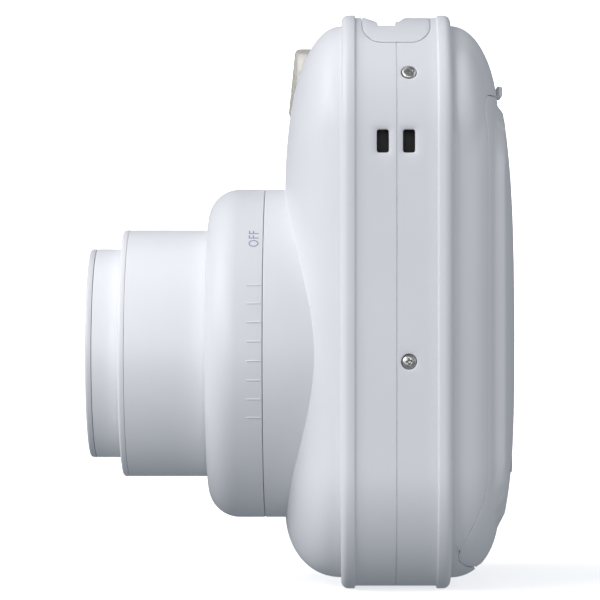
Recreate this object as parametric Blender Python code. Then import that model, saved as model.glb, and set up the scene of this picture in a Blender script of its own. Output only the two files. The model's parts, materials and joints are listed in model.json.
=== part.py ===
"""Instant camera, lens extended. Metres, +Z up, lens towards -Y, the user's left hand at +X.

The assembly empty sits on the parting plane between the front and rear cases, so every Y below is
measured from that plane: negative towards the lens, positive towards the film door.
"""

import math

import bmesh
import bpy
from mathutils import Matrix, Vector

mm = 0.001

# Driving dimensions
BODY_WIDTH = 104 * mm
BODY_HEIGHT = 122 * mm
CORNER_RADIUS = 25 * mm
WALL = 2 * mm
GAP = 0.3 * mm
LENS_FRONT = 65.6 * mm  # lens tip to parting plane
DOOR_BACK = 25.1 * mm  # parting plane to the door's plateau
SEAM_Y = (LENS_FRONT - DOOR_BACK) / 2  # centres the whole camera on the origin

LENS_X = 9 * mm
LENS_Z = 49.5 * mm
LENS = Vector((LENS_X, 0, LENS_Z))

# Side band and ribs
RIB_OUTER = 11.5 * mm
RIB_INNER = 8.6 * mm
RIB_ROUND = 1.1 * mm
BAND_INSET = 0.55 * mm
DOME_INSET = 2.2 * mm

# Domes: where the flat middle ends and how deep they are
FRONT_DEPTH = 12.2 * mm
FRONT_FLAT = (15 * mm, 15.5 * mm, 84 * mm)  # half width, bottom, top
FRONT_BASE_HALF = 47.6 * mm
REAR_DEPTH = 10.4 * mm
REAR_FLAT = (35 * mm, 16 * mm, 107 * mm)
REAR_BASE_HALF = 48.6 * mm
DOME_POWER = 2.1
FLAT_RADIUS = 13 * mm

# Lens stages
RING_RADIUS = 35.4 * mm
RING_SEAM = -27.7 * mm
RING_FRONT = -39.6 * mm
RING_ROUND = 7.6 * mm
MID_RADIUS = 26.6 * mm
MID_FRONT = -58.5 * mm
TIP_RADIUS = 22.5 * mm
TIP_FRONT = -LENS_FRONT
TUBE_WALL = 1.6 * mm

# Film path
FILM_Y = -2 * mm
PACK = (62.4 * mm, 14.4 * mm, 92.4 * mm)  # room for one film pack
PACK_BOTTOM = 9.5 * mm
PICTURE = (46 * mm, 62 * mm)
ROLLER_Z = 107.5 * mm
ROLLER_RADIUS = 3.3 * mm
ROLLER_LENGTH = 54 * mm
GEAR_MODULE = 0.5 * mm
ROLLER_TEETH = 14
IDLER_TEETH = 20
PINION_TEETH = 8

# Film exit frame on top
FRAME_HALF = 7.1 * mm
FRAME_BOTTOM = 115.2 * mm
GROOVE = (-3.85 * mm, -0.2 * mm)
GROOVE_DEPTH = 2.3 * mm

# Side furniture
SCREW_Y = 2.5 * mm
SCREW_HEIGHTS = {1: (48.3 * mm, 108.2 * mm), -1: (79 * mm, 108.2 * mm)}  # left, right
SCREW_RADIUS = 1.45 * mm
SLOT_YS = (-2.9 * mm, 2.5 * mm)
SLOT_Z = 93.7 * mm
SLOT_SIZE = (2.5 * mm, 4.7 * mm)

# Film door
DOOR_HALF = 44.6 * mm
DOOR_TOP = 103.6 * mm
DOOR_BOTTOM = 4.9 * mm
DOOR_BOTTOM_RADIUS = 12 * mm
DOOR_TOP_RADIUS = 4 * mm
DOOR_START_Y = 13.2 * mm  # the door's side edges reach this far forward
HINGE_Y = 17.1 * mm
HINGE_Z = 4.8 * mm
HINGE_PIN = (0.45 * mm, 25 * mm)  # radius and half length
HINGE_RELIEF = (1.05 * mm, 38 * mm)  # clears the swing of the door's lower lip
# The door's raised middle, outwards: depth, half width, bottom, top
PLATEAU = (
    (19.5 * mm, 42.6 * mm, 13.4 * mm, 102 * mm),
    (22.3 * mm, 42.1 * mm, 13.9 * mm, 101.6 * mm),
    (23 * mm, 41.2 * mm, 15.4 * mm, 100.4 * mm),
    (23.7 * mm, 37.5 * mm, 20 * mm, 94 * mm),
    (24.5 * mm, 32 * mm, 26 * mm, 84 * mm),
    (DOOR_BACK, 25 * mm, 36 * mm, 70 * mm),
)
LATCH_X = LENS_X
LATCH_Z = 105.7 * mm
LATCH_TRAVEL = 1.8 * mm
COUNTER = (30 * mm, 27 * mm)  # frame counter's axis
WINDOW_HALF = (4.6 * mm, 8 * mm)  # film check window
WINDOW_Z = 60 * mm

# Front controls
BUTTON = Vector((-37 * mm, -20.5 * mm, 76 * mm))
BUTTON_RADIUS = 6.5 * mm
VIEW_X = -36 * mm
VIEW_Z = 109.4 * mm
VIEW_RADIUS = 4.2 * mm
FLASH_X = (-17 * mm, 10 * mm)
FLASH_Z = (100.4 * mm, 115.4 * mm)

# Battery compartment on the user's right
CELL_RADIUS = 7.3 * mm
CELL_X = -35.5 * mm
CELL_YS = (-6.7 * mm, 7.9 * mm)
CELL_BOTTOM = 19 * mm
CELL_LENGTH = 51.5 * mm
COVER_Y = (-13 * mm, 14 * mm)
COVER_Z = (18 * mm, 72 * mm)
COVER_HINGE_X = -48.4 * mm

# Roller, gear and motor places, worked out from the gear sizes
ROLLER_PITCH = ROLLER_TEETH * GEAR_MODULE / 2
IDLER_PITCH = IDLER_TEETH * GEAR_MODULE / 2
PINION_PITCH = PINION_TEETH * GEAR_MODULE / 2
DRIVE_AXIS = Vector((0, FILM_Y - ROLLER_PITCH, ROLLER_Z))
PRESSURE_AXIS = Vector((0, FILM_Y + ROLLER_PITCH, ROLLER_Z))
IDLER_DROP = 6.4 * mm
IDLER_FORWARD = math.sqrt((ROLLER_PITCH + IDLER_PITCH) ** 2 - IDLER_DROP**2)
IDLER_AXIS = DRIVE_AXIS + Vector((0, -IDLER_FORWARD, -IDLER_DROP))
PINION_AXIS = IDLER_AXIS - Vector((0, 0, IDLER_PITCH + PINION_PITCH))
ROLLER_X = (LENS_X - ROLLER_LENGTH / 2, LENS_X + ROLLER_LENGTH / 2)
BRACKET_THICK = 1.2 * mm
BRACKET_LEFT_X = ROLLER_X[0] - GAP - BRACKET_THICK
GEAR_X = (BRACKET_LEFT_X - GAP - 2 * mm, BRACKET_LEFT_X - GAP)

SMOOTH_BELOW = math.radians(32)
RING_STEPS = 32

MATERIALS = {
    "white_shell": ((0.83, 0.83, 0.86), 0.38, 0.0),
    "white_trim": ((0.80, 0.80, 0.84), 0.32, 0.0),
    "black_plastic": ((0.03, 0.03, 0.035), 0.5, 0.0),
    "grey_plastic": ((0.45, 0.46, 0.48), 0.5, 0.0),
    "steel": ((0.62, 0.61, 0.6), 0.3, 1.0),
    "brass": ((0.75, 0.6, 0.3), 0.3, 1.0),
    "rubber": ((0.06, 0.06, 0.06), 0.7, 0.0),
    "lens_glass": ((0.55, 0.6, 0.68), 0.05, 0.0),
    "clear_cover": ((0.8, 0.78, 0.74), 0.1, 0.0),
    "mirror": ((0.85, 0.86, 0.88), 0.04, 1.0),
    "board_green": ((0.05, 0.25, 0.12), 0.5, 0.0),
}


# Shared helpers


def material(name):
    """The Principled material of this name, made on first use."""
    if name in bpy.data.materials:
        return bpy.data.materials[name]
    colour, roughness, metallic = MATERIALS[name]
    made = bpy.data.materials.new(name)
    made.use_nodes = True
    shader = made.node_tree.nodes["Principled BSDF"]
    shader.inputs["Base Color"].default_value = (*colour, 1)
    shader.inputs["Roughness"].default_value = roughness
    shader.inputs["Metallic"].default_value = metallic
    made.diffuse_color = (*colour, 1)
    return made


def to_object(name, form):
    """A linked object from a bmesh, with its faces pointing out."""
    bmesh.ops.recalc_face_normals(form, faces=form.faces[:])
    if form.calc_volume(signed=True) < 0:
        bmesh.ops.reverse_faces(form, faces=form.faces[:])
    mesh = bpy.data.meshes.new(name)
    form.to_mesh(mesh)
    form.free()
    made = bpy.data.objects.new(name, mesh)
    bpy.context.scene.collection.objects.link(made)
    return made


def loft(name, rings):
    """A closed solid through rings of equal point counts, flat at both ends."""
    form = bmesh.new()
    rows = [[form.verts.new(point) for point in ring] for ring in rings]
    count = len(rows[0])
    for row, after in zip(rows, rows[1:]):
        for i in range(count):
            j = (i + 1) % count
            form.faces.new((row[i], row[j], after[j], after[i]))
    form.faces.new(rows[0])
    form.faces.new(reversed(rows[-1]))
    return to_object(name, form)


def prism(name, outline, axis, start, end):
    """An outline extruded along X, Y or Z. Its points hold the two other coordinates in order."""
    place = {
        "X": lambda a, b, along: (along, a, b),
        "Y": lambda a, b, along: (a, along, b),
        "Z": lambda a, b, along: (a, b, along),
    }[axis]
    return loft(name, [[place(a, b, along) for a, b in outline] for along in (start, end)])


def box(name, low, high):
    outline = [(low[0], low[1]), (high[0], low[1]), (high[0], high[1]), (low[0], high[1])]
    return prism(name, outline, "Z", low[2], high[2])


def circle(centre, radius, steps=RING_STEPS, start=0.0):
    turns = [start + 2 * math.pi * i / steps for i in range(steps)]
    return [(centre[0] + radius * math.cos(t), centre[1] + radius * math.sin(t)) for t in turns]


def rod(name, axis, centre, radius, start, end, steps=16):
    """A cylinder along X, Y or Z, round the point whose two other coordinates are given."""
    return prism(name, circle(centre, radius, steps), axis, start, end)


def turned(name, profile, centre=(LENS_X, LENS_Z), steps=RING_STEPS):
    """A closed (radius, y) profile spun round an axis along Y."""
    form = bmesh.new()
    points = [form.verts.new((centre[0] + r, y, centre[1])) for r, y in profile]
    edges = [form.edges.new((a, b)) for a, b in zip(points, points[1:] + points[:1])]
    bmesh.ops.spin(
        form,
        geom=points + edges,
        cent=(centre[0], 0, centre[1]),
        axis=(0, 1, 0),
        angle=2 * math.pi,
        steps=steps,
        use_merge=True,
    )
    bmesh.ops.remove_doubles(form, verts=form.verts[:], dist=1e-6)
    flat = [face for face in form.faces if face.calc_area() < 1e-12]
    bmesh.ops.delete(form, geom=flat, context="FACES")
    return to_object(name, form)


def disc_profile(radius, front, back, bulge=0.0, steps=4):
    """The profile of a disc from its axis, its front bulging towards the lens."""
    arc = [
        (radius * i / steps, front - bulge * (1 - (i / steps) ** 2)) for i in range(steps + 1)
    ]
    return [*arc, (radius, back), (0, back)]


def boolean(target, operation, *tools):
    """Applies each tool to the target with an exact Boolean, then removes the tool."""
    for tool in tools:
        modifier = target.modifiers.new(operation, "BOOLEAN")
        modifier.operation = operation
        modifier.solver = "EXACT"
        modifier.object = tool
        bpy.context.view_layer.update()
        graph = bpy.context.evaluated_depsgraph_get()
        result = bpy.data.meshes.new_from_object(target.evaluated_get(graph))
        target.modifiers.clear()
        target.data = result
        bpy.data.objects.remove(tool)
    return target


def cut(target, *tools):
    return boolean(target, "DIFFERENCE", *tools)


def join(target, *tools):
    return boolean(target, "UNION", *tools)


def keep(target, *tools):
    return boolean(target, "INTERSECT", *tools)


def place_in_assembly(node):
    """Where a node's origin is, counted from the assembly empty."""
    place = Vector((0, 0, 0))
    while node is not assembly:
        place += node.location
        node = node.parent
    return place


def finish(node, look, pivot=None, parent=None):
    """Gives a node its material, shading, origin on its joint's axis, and parent."""
    mesh = node.data
    mesh.materials.clear()
    mesh.materials.append(material(look))
    mesh.shade_smooth()
    mesh.set_sharp_from_angle(angle=SMOOTH_BELOW)
    if pivot is not None:
        mesh.transform(Matrix.Translation(-Vector(pivot)))
        node.location = pivot
    node.parent = parent or assembly
    node.location -= place_in_assembly(node.parent)
    return node


# Body surfaces


def rounded_outline(half, bottom, top, radius, top_radius=None, steps=5):
    """A rounded rectangle in X and Z, anticlockwise from its lower right corner."""
    upper = top_radius or radius
    corners = (
        (half - radius, bottom + radius, radius, -90),
        (half - upper, top - upper, upper, 0),
        (upper - half, top - upper, upper, 90),
        (radius - half, bottom + radius, radius, 180),
    )
    points = []
    for x, z, radius, first in corners:
        for i in range(steps + 1):
            turn = math.radians(first + 90 * i / steps)
            points.append((x + radius * math.cos(turn), z + radius * math.sin(turn)))
    return points


def body_ring(y, half, bottom, top, radius):
    return [(x, y, z) for x, z in rounded_outline(half, bottom, top, radius)]


def band_ring(y, inset):
    """The side band's outline, drawn in by an inset."""
    return body_ring(
        y, BODY_WIDTH / 2 - inset, inset, BODY_HEIGHT - inset, CORNER_RADIUS - inset
    )


def dome_rings(side, flat, base_half, depth, shrink, steps):
    """Rings from a dome's base at the rib to its flat middle, drawn in all round by shrink."""
    flat_half, flat_bottom, flat_top = flat
    rings = []
    for i in range(steps + 1):
        turn = math.pi / 2 * i / steps
        spread = max(math.cos(turn), 0) ** (2 / DOME_POWER)
        rise = math.sin(turn) ** (2 / DOME_POWER)
        half = flat_half + (base_half - flat_half) * spread
        bottom = flat_bottom + (DOME_INSET - flat_bottom) * spread
        top = flat_top + (BODY_HEIGHT - DOME_INSET - flat_top) * spread
        radius = FLAT_RADIUS + (CORNER_RADIUS - DOME_INSET - FLAT_RADIUS) * spread
        rings.append(
            body_ring(
                side * (RIB_OUTER + (depth - shrink) * rise),
                half - shrink,
                bottom + shrink,
                top - shrink,
                radius - shrink,
            )
        )
    return rings


def outer_body(name="outer_body"):
    """The whole body's outer surface, without the door's proud parts."""
    front = dome_rings(-1, FRONT_FLAT, FRONT_BASE_HALF, FRONT_DEPTH, 0, 7)[::-1]
    rear = dome_rings(1, REAR_FLAT, REAR_BASE_HALF, REAR_DEPTH, 0, 6)
    lip = RIB_OUTER - RIB_ROUND
    step = 0.3 * mm
    front_rib = [
        band_ring(-RIB_OUTER, RIB_ROUND),
        band_ring(-lip, 0),
        band_ring(-RIB_INNER - step, 0),
        band_ring(-RIB_INNER, BAND_INSET),
    ]
    rear_rib = [
        band_ring(RIB_INNER - step, BAND_INSET),
        band_ring(RIB_INNER, 0),
        band_ring(lip, 0),
        band_ring(RIB_OUTER, RIB_ROUND),
    ]
    return loft(name, front + front_rib + rear_rib + rear)


def inner_body(wall, name="inner_body"):
    """The body's hollow, one wall inside its outer surface."""
    front = dome_rings(-1, FRONT_FLAT, FRONT_BASE_HALF, FRONT_DEPTH, wall, 5)[::-1]
    rear = dome_rings(1, REAR_FLAT, REAR_BASE_HALF, REAR_DEPTH, wall, 4)
    band = BAND_INSET + wall
    middle = [band_ring(-RIB_INNER, band), band_ring(RIB_INNER, band)]
    return loft(name, front + middle + rear)


def u_prism(name, grow, floor):
    """The film exit frame's outline across the body, open at the top."""
    half = FRAME_HALF + grow
    bottom = floor - grow
    radius = 4 * mm + grow
    corner = 4
    points = [(half, BODY_HEIGHT + 5 * mm), (-half, BODY_HEIGHT + 5 * mm)]
    for centre, first in ((radius - half, 180), (half - radius, 270)):
        for i in range(corner + 1):
            turn = math.radians(first + 90 * i / corner)
            points.append((centre + radius * math.cos(turn), bottom + radius + radius * math.sin(turn)))
    return prism(name, points, "X", -BODY_WIDTH, BODY_WIDTH)


def door_prism(name, grow, start, end):
    """The door's outline, square at the top and rounded at the bottom, along Y."""
    outline = rounded_outline(
        DOOR_HALF + grow,
        DOOR_BOTTOM - grow,
        DOOR_TOP + grow,
        DOOR_BOTTOM_RADIUS + grow,
        DOOR_TOP_RADIUS + grow,
    )
    return prism(name, outline, "Y", start, end)


def hinge_rod(name, size, grow=0.0):
    """A rod of this (radius, half length) round the door hinge, in the gap under the door."""
    radius, half = size
    return rod(name, "X", (HINGE_Y, HINGE_Z), radius + grow, -half - grow, half + grow, 12)


def half_space(name, side, start=GAP / 2):
    """Everything more than start from the parting plane on one side of it."""
    far = 100 * mm
    low, high = sorted((side * start, side * far))
    return box(name, (-far, low, -far), (far, high, 2 * far))


def cover_prism(name, grow):
    low = (-BODY_WIDTH, COVER_Y[0] - grow, COVER_Z[0] - grow)
    high = (-44 * mm + grow, COVER_Y[1] + grow, COVER_Z[1] + grow)
    return box(name, low, high)


def side_cutters(side):
    """Screw recesses for one side of the rear half."""
    far = side * BODY_WIDTH
    cutters = []
    for height in SCREW_HEIGHTS[side]:
        floor = side * (screw_seat(height) - 0.5 * mm)
        cutters.append(rod("recess", "X", (SCREW_Y, height), SCREW_RADIUS + GAP, floor, far))
    return cutters


def screw_seat(height):
    """How far out the band's surface is at this height."""
    radius = CORNER_RADIUS - BAND_INSET
    centre_z = BODY_HEIGHT - CORNER_RADIUS
    reach = BODY_WIDTH / 2 - CORNER_RADIUS
    above = max(0.0, height - centre_z)
    return reach + math.sqrt(radius**2 - above**2)


def strap_slot(side, y):
    half_y = SLOT_SIZE[0] / 2
    half_z = SLOT_SIZE[1] / 2
    near, far = sorted((side * (BODY_WIDTH / 2 - 6 * mm), side * BODY_WIDTH))
    return box("slot", (near, y - half_y, SLOT_Z - half_z), (far, y + half_y, SLOT_Z + half_z))


def shoulder_bulge(side):
    """The rounded bulge behind the rear rib, near the top."""
    form = bmesh.new()
    bmesh.ops.create_uvsphere(form, u_segments=16, v_segments=10, radius=1)
    scale = Matrix.Diagonal((6.6 * mm, 4.6 * mm, 10 * mm, 1))
    place = Matrix.Translation((side * 41.6 * mm, 14.2 * mm, 105 * mm))
    form.transform(place @ scale)
    return to_object("bulge", form)


# Casings


def make_front_case():
    case = keep(outer_body("front_case"), half_space("half", -1))
    cut(
        case,
        inner_body(WALL),
        rod("lens_hole", "Y", (LENS_X, LENS_Z), RING_RADIUS + GAP, -40 * mm, -9 * mm, RING_STEPS),
        rod("view_hole", "Y", (VIEW_X, VIEW_Z), VIEW_RADIUS + GAP, -40 * mm, 0, 16),
        rod("button_hole", "Y", (BUTTON.x, BUTTON.z), BUTTON_RADIUS + GAP, -40 * mm, 0, 20),
        rod("sensor_hole", "Y", (16 * mm, 101 * mm), 2.3 * mm, -40 * mm, -12 * mm, 12),
        box(
            "flash_hole",
            (FLASH_X[0] - GAP, -40 * mm, FLASH_Z[0] - GAP),
            (FLASH_X[1] + GAP, -12 * mm, FLASH_Z[1] + GAP),
        ),
        u_prism("frame_pocket", GAP, FRAME_BOTTOM),
        cover_prism("cover_hole", GAP),
        strap_slot(1, SLOT_YS[0]),
        strap_slot(-1, SLOT_YS[0]),
    )
    return finish(case, "white_shell")


def make_rear_case():
    case = join(outer_body("rear_case"), shoulder_bulge(1), shoulder_bulge(-1))
    keep(case, half_space("half", 1))
    cut(
        case,
        inner_body(WALL),
        door_prism("door_recess", GAP, DOOR_START_Y - GAP, 60 * mm),
        hinge_rod("knuckle", HINGE_RELIEF),
        latch_slot(),
        rod("eyepiece_hole", "Y", (VIEW_X, VIEW_Z), VIEW_RADIUS + GAP, 0, 40 * mm, 16),
        u_prism("frame_pocket", GAP, FRAME_BOTTOM),
        cover_prism("cover_hole", GAP),
        strap_slot(1, SLOT_YS[1]),
        strap_slot(-1, SLOT_YS[1]),
        *side_cutters(1),
        *side_cutters(-1),
    )
    return finish(case, "white_shell")


def make_film_exit_frame():
    """The insert across the top, with ramps down to the groove that the film leaves by."""
    frame = keep(outer_body("film_exit_frame"), u_prism("outline", 0, FRAME_BOTTOM))
    top = BODY_HEIGHT - BAND_INSET
    floor = top - GROOVE_DEPTH
    ramp = 2.2 * mm
    high = top + 2 * mm
    outline = [
        (GROOVE[0], floor),
        (GROOVE[1], floor),
        (GROOVE[1], floor + 1.1 * mm),
        (GROOVE[1] + 0.6 * mm, floor + 1 * mm),
        (GROOVE[1] + ramp, top),
        (GROOVE[1] + ramp, high),
        (GROOVE[0] - ramp, high),
        (GROOVE[0] - ramp, top),
        (GROOVE[0], floor + 0.8 * mm),
    ]
    groove = prism("groove", outline, "X", -BODY_WIDTH, BODY_WIDTH)
    slot_half = PACK[0] / 2 - 3 * mm
    slot = box(
        "slot",
        (LENS_X - slot_half, FILM_Y - 0.9 * mm, 100 * mm),
        (LENS_X + slot_half, FILM_Y + 0.9 * mm, BODY_HEIGHT + 5 * mm),
    )
    cut(frame, inner_body(5.2 * mm), groove, slot)
    return finish(frame, "white_trim")


# Lens


def make_lens_collar():
    """The fixed collar outside, with the sleeve that guides the barrels inside."""
    wall = 1.8 * mm
    back = -10 * mm
    sleeve = MID_RADIUS + 0.4 * mm
    profile = [
        (RING_RADIUS, RING_SEAM),
        (RING_RADIUS, back),
        (sleeve, back),
        (sleeve, RING_FRONT + 1.9 * mm),
        (sleeve + 1.2 * mm, RING_FRONT + 1.9 * mm),
        (sleeve + 1.2 * mm, back - wall),
        (RING_RADIUS - wall, back - wall),
        (RING_RADIUS - wall, RING_SEAM),
    ]
    return finish(turned("lens_collar", profile), "white_shell")


def ring_arc(radius, centre_r, centre_y, steps):
    """A quarter round from the side to the front."""
    turns = [math.pi / 2 * i / steps for i in range(steps + 1)]
    return [(centre_r + radius * math.cos(t), centre_y - radius * math.sin(t)) for t in turns]


def make_dial_ring():
    """The outer ring that is turned to run the lens out and in."""
    back = RING_SEAM - GAP
    bore = MID_RADIUS + 0.45 * mm
    wall = 1.5 * mm
    centre_r = RING_RADIUS - RING_ROUND
    centre_y = RING_FRONT + RING_ROUND
    outside = ring_arc(RING_ROUND, centre_r, centre_y, 6)
    inside = ring_arc(RING_ROUND - wall, centre_r, centre_y, 4)[::-1]
    inside = [point for point in inside if point[0] > bore + wall]
    profile = [
        (RING_RADIUS, back),
        *outside,
        (bore, RING_FRONT),
        (bore, RING_FRONT + wall),
        *inside,
        (RING_RADIUS - wall, back),
    ]
    return finish(turned("dial_ring", profile), "white_shell", LENS)


def make_barrels():
    bezel = 1.3 * mm
    mid_back = MID_FRONT + 25.5 * mm
    mid_inner = MID_RADIUS - TUBE_WALL
    lip = TIP_RADIUS + 0.4 * mm
    mid = turned(
        "mid_barrel",
        [
            (MID_RADIUS, MID_FRONT + bezel + GAP),
            (MID_RADIUS, mid_back),
            (mid_inner, mid_back),
            (mid_inner, MID_FRONT + bezel + GAP + TUBE_WALL),
            (lip, MID_FRONT + bezel + GAP + TUBE_WALL),
            (lip, MID_FRONT + bezel + GAP),
        ],
    )
    finish(mid, "white_shell", LENS)
    mid_bezel = turned(
        "mid_bezel",
        [
            (MID_RADIUS, MID_FRONT + bezel),
            (MID_RADIUS, MID_FRONT + 0.8 * mm),
            (MID_RADIUS - 0.8 * mm, MID_FRONT),
            (lip, MID_FRONT),
            (lip, MID_FRONT + bezel),
        ],
    )
    finish(mid_bezel, "white_trim", LENS, mid)

    tip_back = TIP_FRONT + 11.6 * mm
    tip_inner = TIP_RADIUS - TUBE_WALL
    seat = 9 * mm
    tip = turned(
        "front_barrel",
        [
            (TIP_RADIUS, TIP_FRONT + bezel + GAP),
            (TIP_RADIUS, tip_back),
            (tip_inner, tip_back),
            (tip_inner, TIP_FRONT + 3.4 * mm),
            (seat, TIP_FRONT + 3.4 * mm),
            (seat, TIP_FRONT + bezel + GAP),
        ],
    )
    finish(tip, "white_shell", LENS, mid)
    return mid, tip


def make_lens_face(tip):
    bezel = 1.3 * mm
    face = turned(
        "front_bezel",
        [
            (TIP_RADIUS, TIP_FRONT + bezel),
            (TIP_RADIUS, TIP_FRONT + 0.8 * mm),
            (TIP_RADIUS - 0.8 * mm, TIP_FRONT),
            (12 * mm, TIP_FRONT),
            (8.6 * mm, TIP_FRONT + bezel),
        ],
    )
    mirror_x = LENS_X + 16.8 * mm
    seat = rod("seat", "Y", (mirror_x, LENS_Z), 3.5 * mm, TIP_FRONT - mm, TIP_FRONT + 0.6 * mm, 16)
    finish(cut(face, seat), "white_trim", LENS, tip)

    mirror = turned(
        "selfie_mirror",
        disc_profile(3.2 * mm, TIP_FRONT + 0.3 * mm, TIP_FRONT + 0.55 * mm, 0.2 * mm),
        (mirror_x, LENS_Z),
        16,
    )
    finish(mirror, "mirror", LENS, tip)
    profile = disc_profile(8.7 * mm, TIP_FRONT + 2.2 * mm, TIP_FRONT + 3.6 * mm, 0.7 * mm)
    glass = turned("front_lens", profile, steps=24)
    finish(glass, "lens_glass", LENS, tip)


def make_shutter(tip):
    """The shutter housing behind the front lens, its two blades, and the rear lens."""
    front = TIP_FRONT + 4.2 * mm
    wall_inner = 18.8 * mm
    housing = turned(
        "shutter_housing",
        [
            (20.6 * mm, front),
            (20.6 * mm, front + 5 * mm),
            (9 * mm, front + 5 * mm),
            (9 * mm, front + 8 * mm),
            (7.4 * mm, front + 8 * mm),
            (7.4 * mm, front + 5.6 * mm),
            (4.5 * mm, front + 5 * mm),
            (4.5 * mm, front + 3.8 * mm),
            (wall_inner, front + 3.8 * mm),
            (wall_inner, front),
        ],
    )
    finish(housing, "black_plastic", LENS, tip)
    rear = turned(
        "rear_lens",
        disc_profile(7 * mm, front + 6.6 * mm, front + 7.6 * mm, 0.5 * mm),
        steps=20,
    )
    finish(rear, "lens_glass", LENS, tip)

    pivot = Vector((LENS_X, 0, LENS_Z - 11 * mm))
    blades = (("shutter_blade_left", 1, 1.2 * mm), ("shutter_blade_right", -1, 2.3 * mm))
    for name, side, depth in blades:
        layer = front + depth
        points = [(pivot.x + side * -1.5 * mm, pivot.z - 1.5 * mm)]
        for degrees in range(-4, 29, 8):
            turn = math.radians(degrees)
            points.append(
                (pivot.x + side * 16 * mm * math.sin(turn), pivot.z + 16 * mm * math.cos(turn))
            )
        points.append((pivot.x + side * 3 * mm, pivot.z - 1.5 * mm))
        blade = prism(name, points, "Y", layer, layer + 0.5 * mm)
        finish(blade, "black_plastic", pivot, tip)


# Flash, viewfinder and controls


def make_flash():
    """The proud clear window, and the reflector, tube and capacitor behind it."""
    low_x, high_x = FLASH_X
    low_z, high_z = FLASH_Z
    window = loft(
        "flash_window",
        [
            flash_ring(-22.9 * mm, -21.6 * mm, 0.9 * mm),
            flash_ring(-22.3 * mm, -20.9 * mm, 0),
            flash_ring(-18.2 * mm, -14.2 * mm, 0),
        ],
    )
    finish(window, "clear_cover")
    reflector = prism(
        "flash_reflector",
        [
            (-17.6 * mm, low_z + 0.4 * mm),
            (-11.6 * mm, low_z + 4.5 * mm),
            (-11.6 * mm, high_z - 6.5 * mm),
            (-13.6 * mm, high_z - 3.5 * mm),
            (-14 * mm, high_z - 4.1 * mm),
            (-12.4 * mm, high_z - 6.8 * mm),
            (-12.4 * mm, low_z + 4.9 * mm),
            (-17.6 * mm, low_z + 1.2 * mm),
        ],
        "X",
        low_x + mm,
        high_x - mm,
    )
    finish(reflector, "mirror")
    tube_at = (-14.2 * mm, low_z + 6 * mm)
    tube = rod("flash_tube", "X", tube_at, 1.3 * mm, low_x + 2 * mm, high_x - 2 * mm, 12)
    finish(tube, "lens_glass")
    capacitor = rod("flash_capacitor", "X", (-13 * mm, 92 * mm), 4 * mm, -14 * mm, 16 * mm, 16)
    finish(capacitor, "black_plastic")


def flash_ring(low_y, high_y, inset):
    """One outline of the flash window, leaning back towards its top."""
    low_x, high_x = FLASH_X[0] + inset, FLASH_X[1] - inset
    low_z, high_z = FLASH_Z[0] + inset, FLASH_Z[1] - inset
    return [
        (low_x, low_y, low_z),
        (high_x, low_y, low_z),
        (high_x, high_y, high_z),
        (low_x, high_y, high_z),
    ]


def make_viewfinder():
    front, back = -14.2 * mm, 17.4 * mm
    window = turned(
        "viewfinder_window",
        disc_profile(VIEW_RADIUS - 0.2 * mm, front - 1.2 * mm, front - 0.3 * mm),
        (VIEW_X, VIEW_Z),
        16,
    )
    finish(window, "lens_glass")
    tube = turned(
        "viewfinder_tube",
        [
            (VIEW_RADIUS, front),
            (VIEW_RADIUS, back),
            (VIEW_RADIUS - 0.9 * mm, back),
            (VIEW_RADIUS - 0.9 * mm, front),
        ],
        (VIEW_X, VIEW_Z),
        16,
    )
    finish(tube, "black_plastic")
    eyepiece = turned(
        "eyepiece",
        disc_profile(VIEW_RADIUS - 0.1 * mm, back + 1.9 * mm, back + 0.3 * mm, -0.5 * mm),
        (VIEW_X, VIEW_Z),
        16,
    )
    finish(eyepiece, "lens_glass")
    sensor_at = (16 * mm, 101 * mm)
    sensor = turned("light_sensor_window", disc_profile(2 * mm, -21.4 * mm, -19.6 * mm), sensor_at, 12)
    finish(sensor, "black_plastic")


def make_shutter_button():
    """The button on the front grip, its return spring and the switch it presses."""
    centre = (BUTTON.x, BUTTON.z)
    proud = 1.4 * mm
    button = turned(
        "shutter_button",
        [
            (0, BUTTON.y - proud),
            (BUTTON_RADIUS - 1.6 * mm, BUTTON.y - proud),
            (BUTTON_RADIUS, BUTTON.y - proud + 1.2 * mm),
            (BUTTON_RADIUS, BUTTON.y + 3.6 * mm),
            (1.6 * mm, BUTTON.y + 3.6 * mm),
            (1.6 * mm, BUTTON.y + 8 * mm),
            (0, BUTTON.y + 8 * mm),
        ],
        centre,
        20,
    )
    finish(button, "white_trim", BUTTON)
    coil = make_coil("button_spring", BUTTON, 2.6 * mm, 0.25 * mm, 5.3 * mm, 9.4 * mm, 4)
    finish(coil, "steel")
    switch = box(
        "shutter_switch",
        (BUTTON.x - 4 * mm, BUTTON.y + 9.8 * mm, BUTTON.z - 4 * mm),
        (BUTTON.x + 4 * mm, BUTTON.y + 12.4 * mm, BUTTON.z + 4 * mm),
    )
    finish(switch, "black_plastic")


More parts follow.
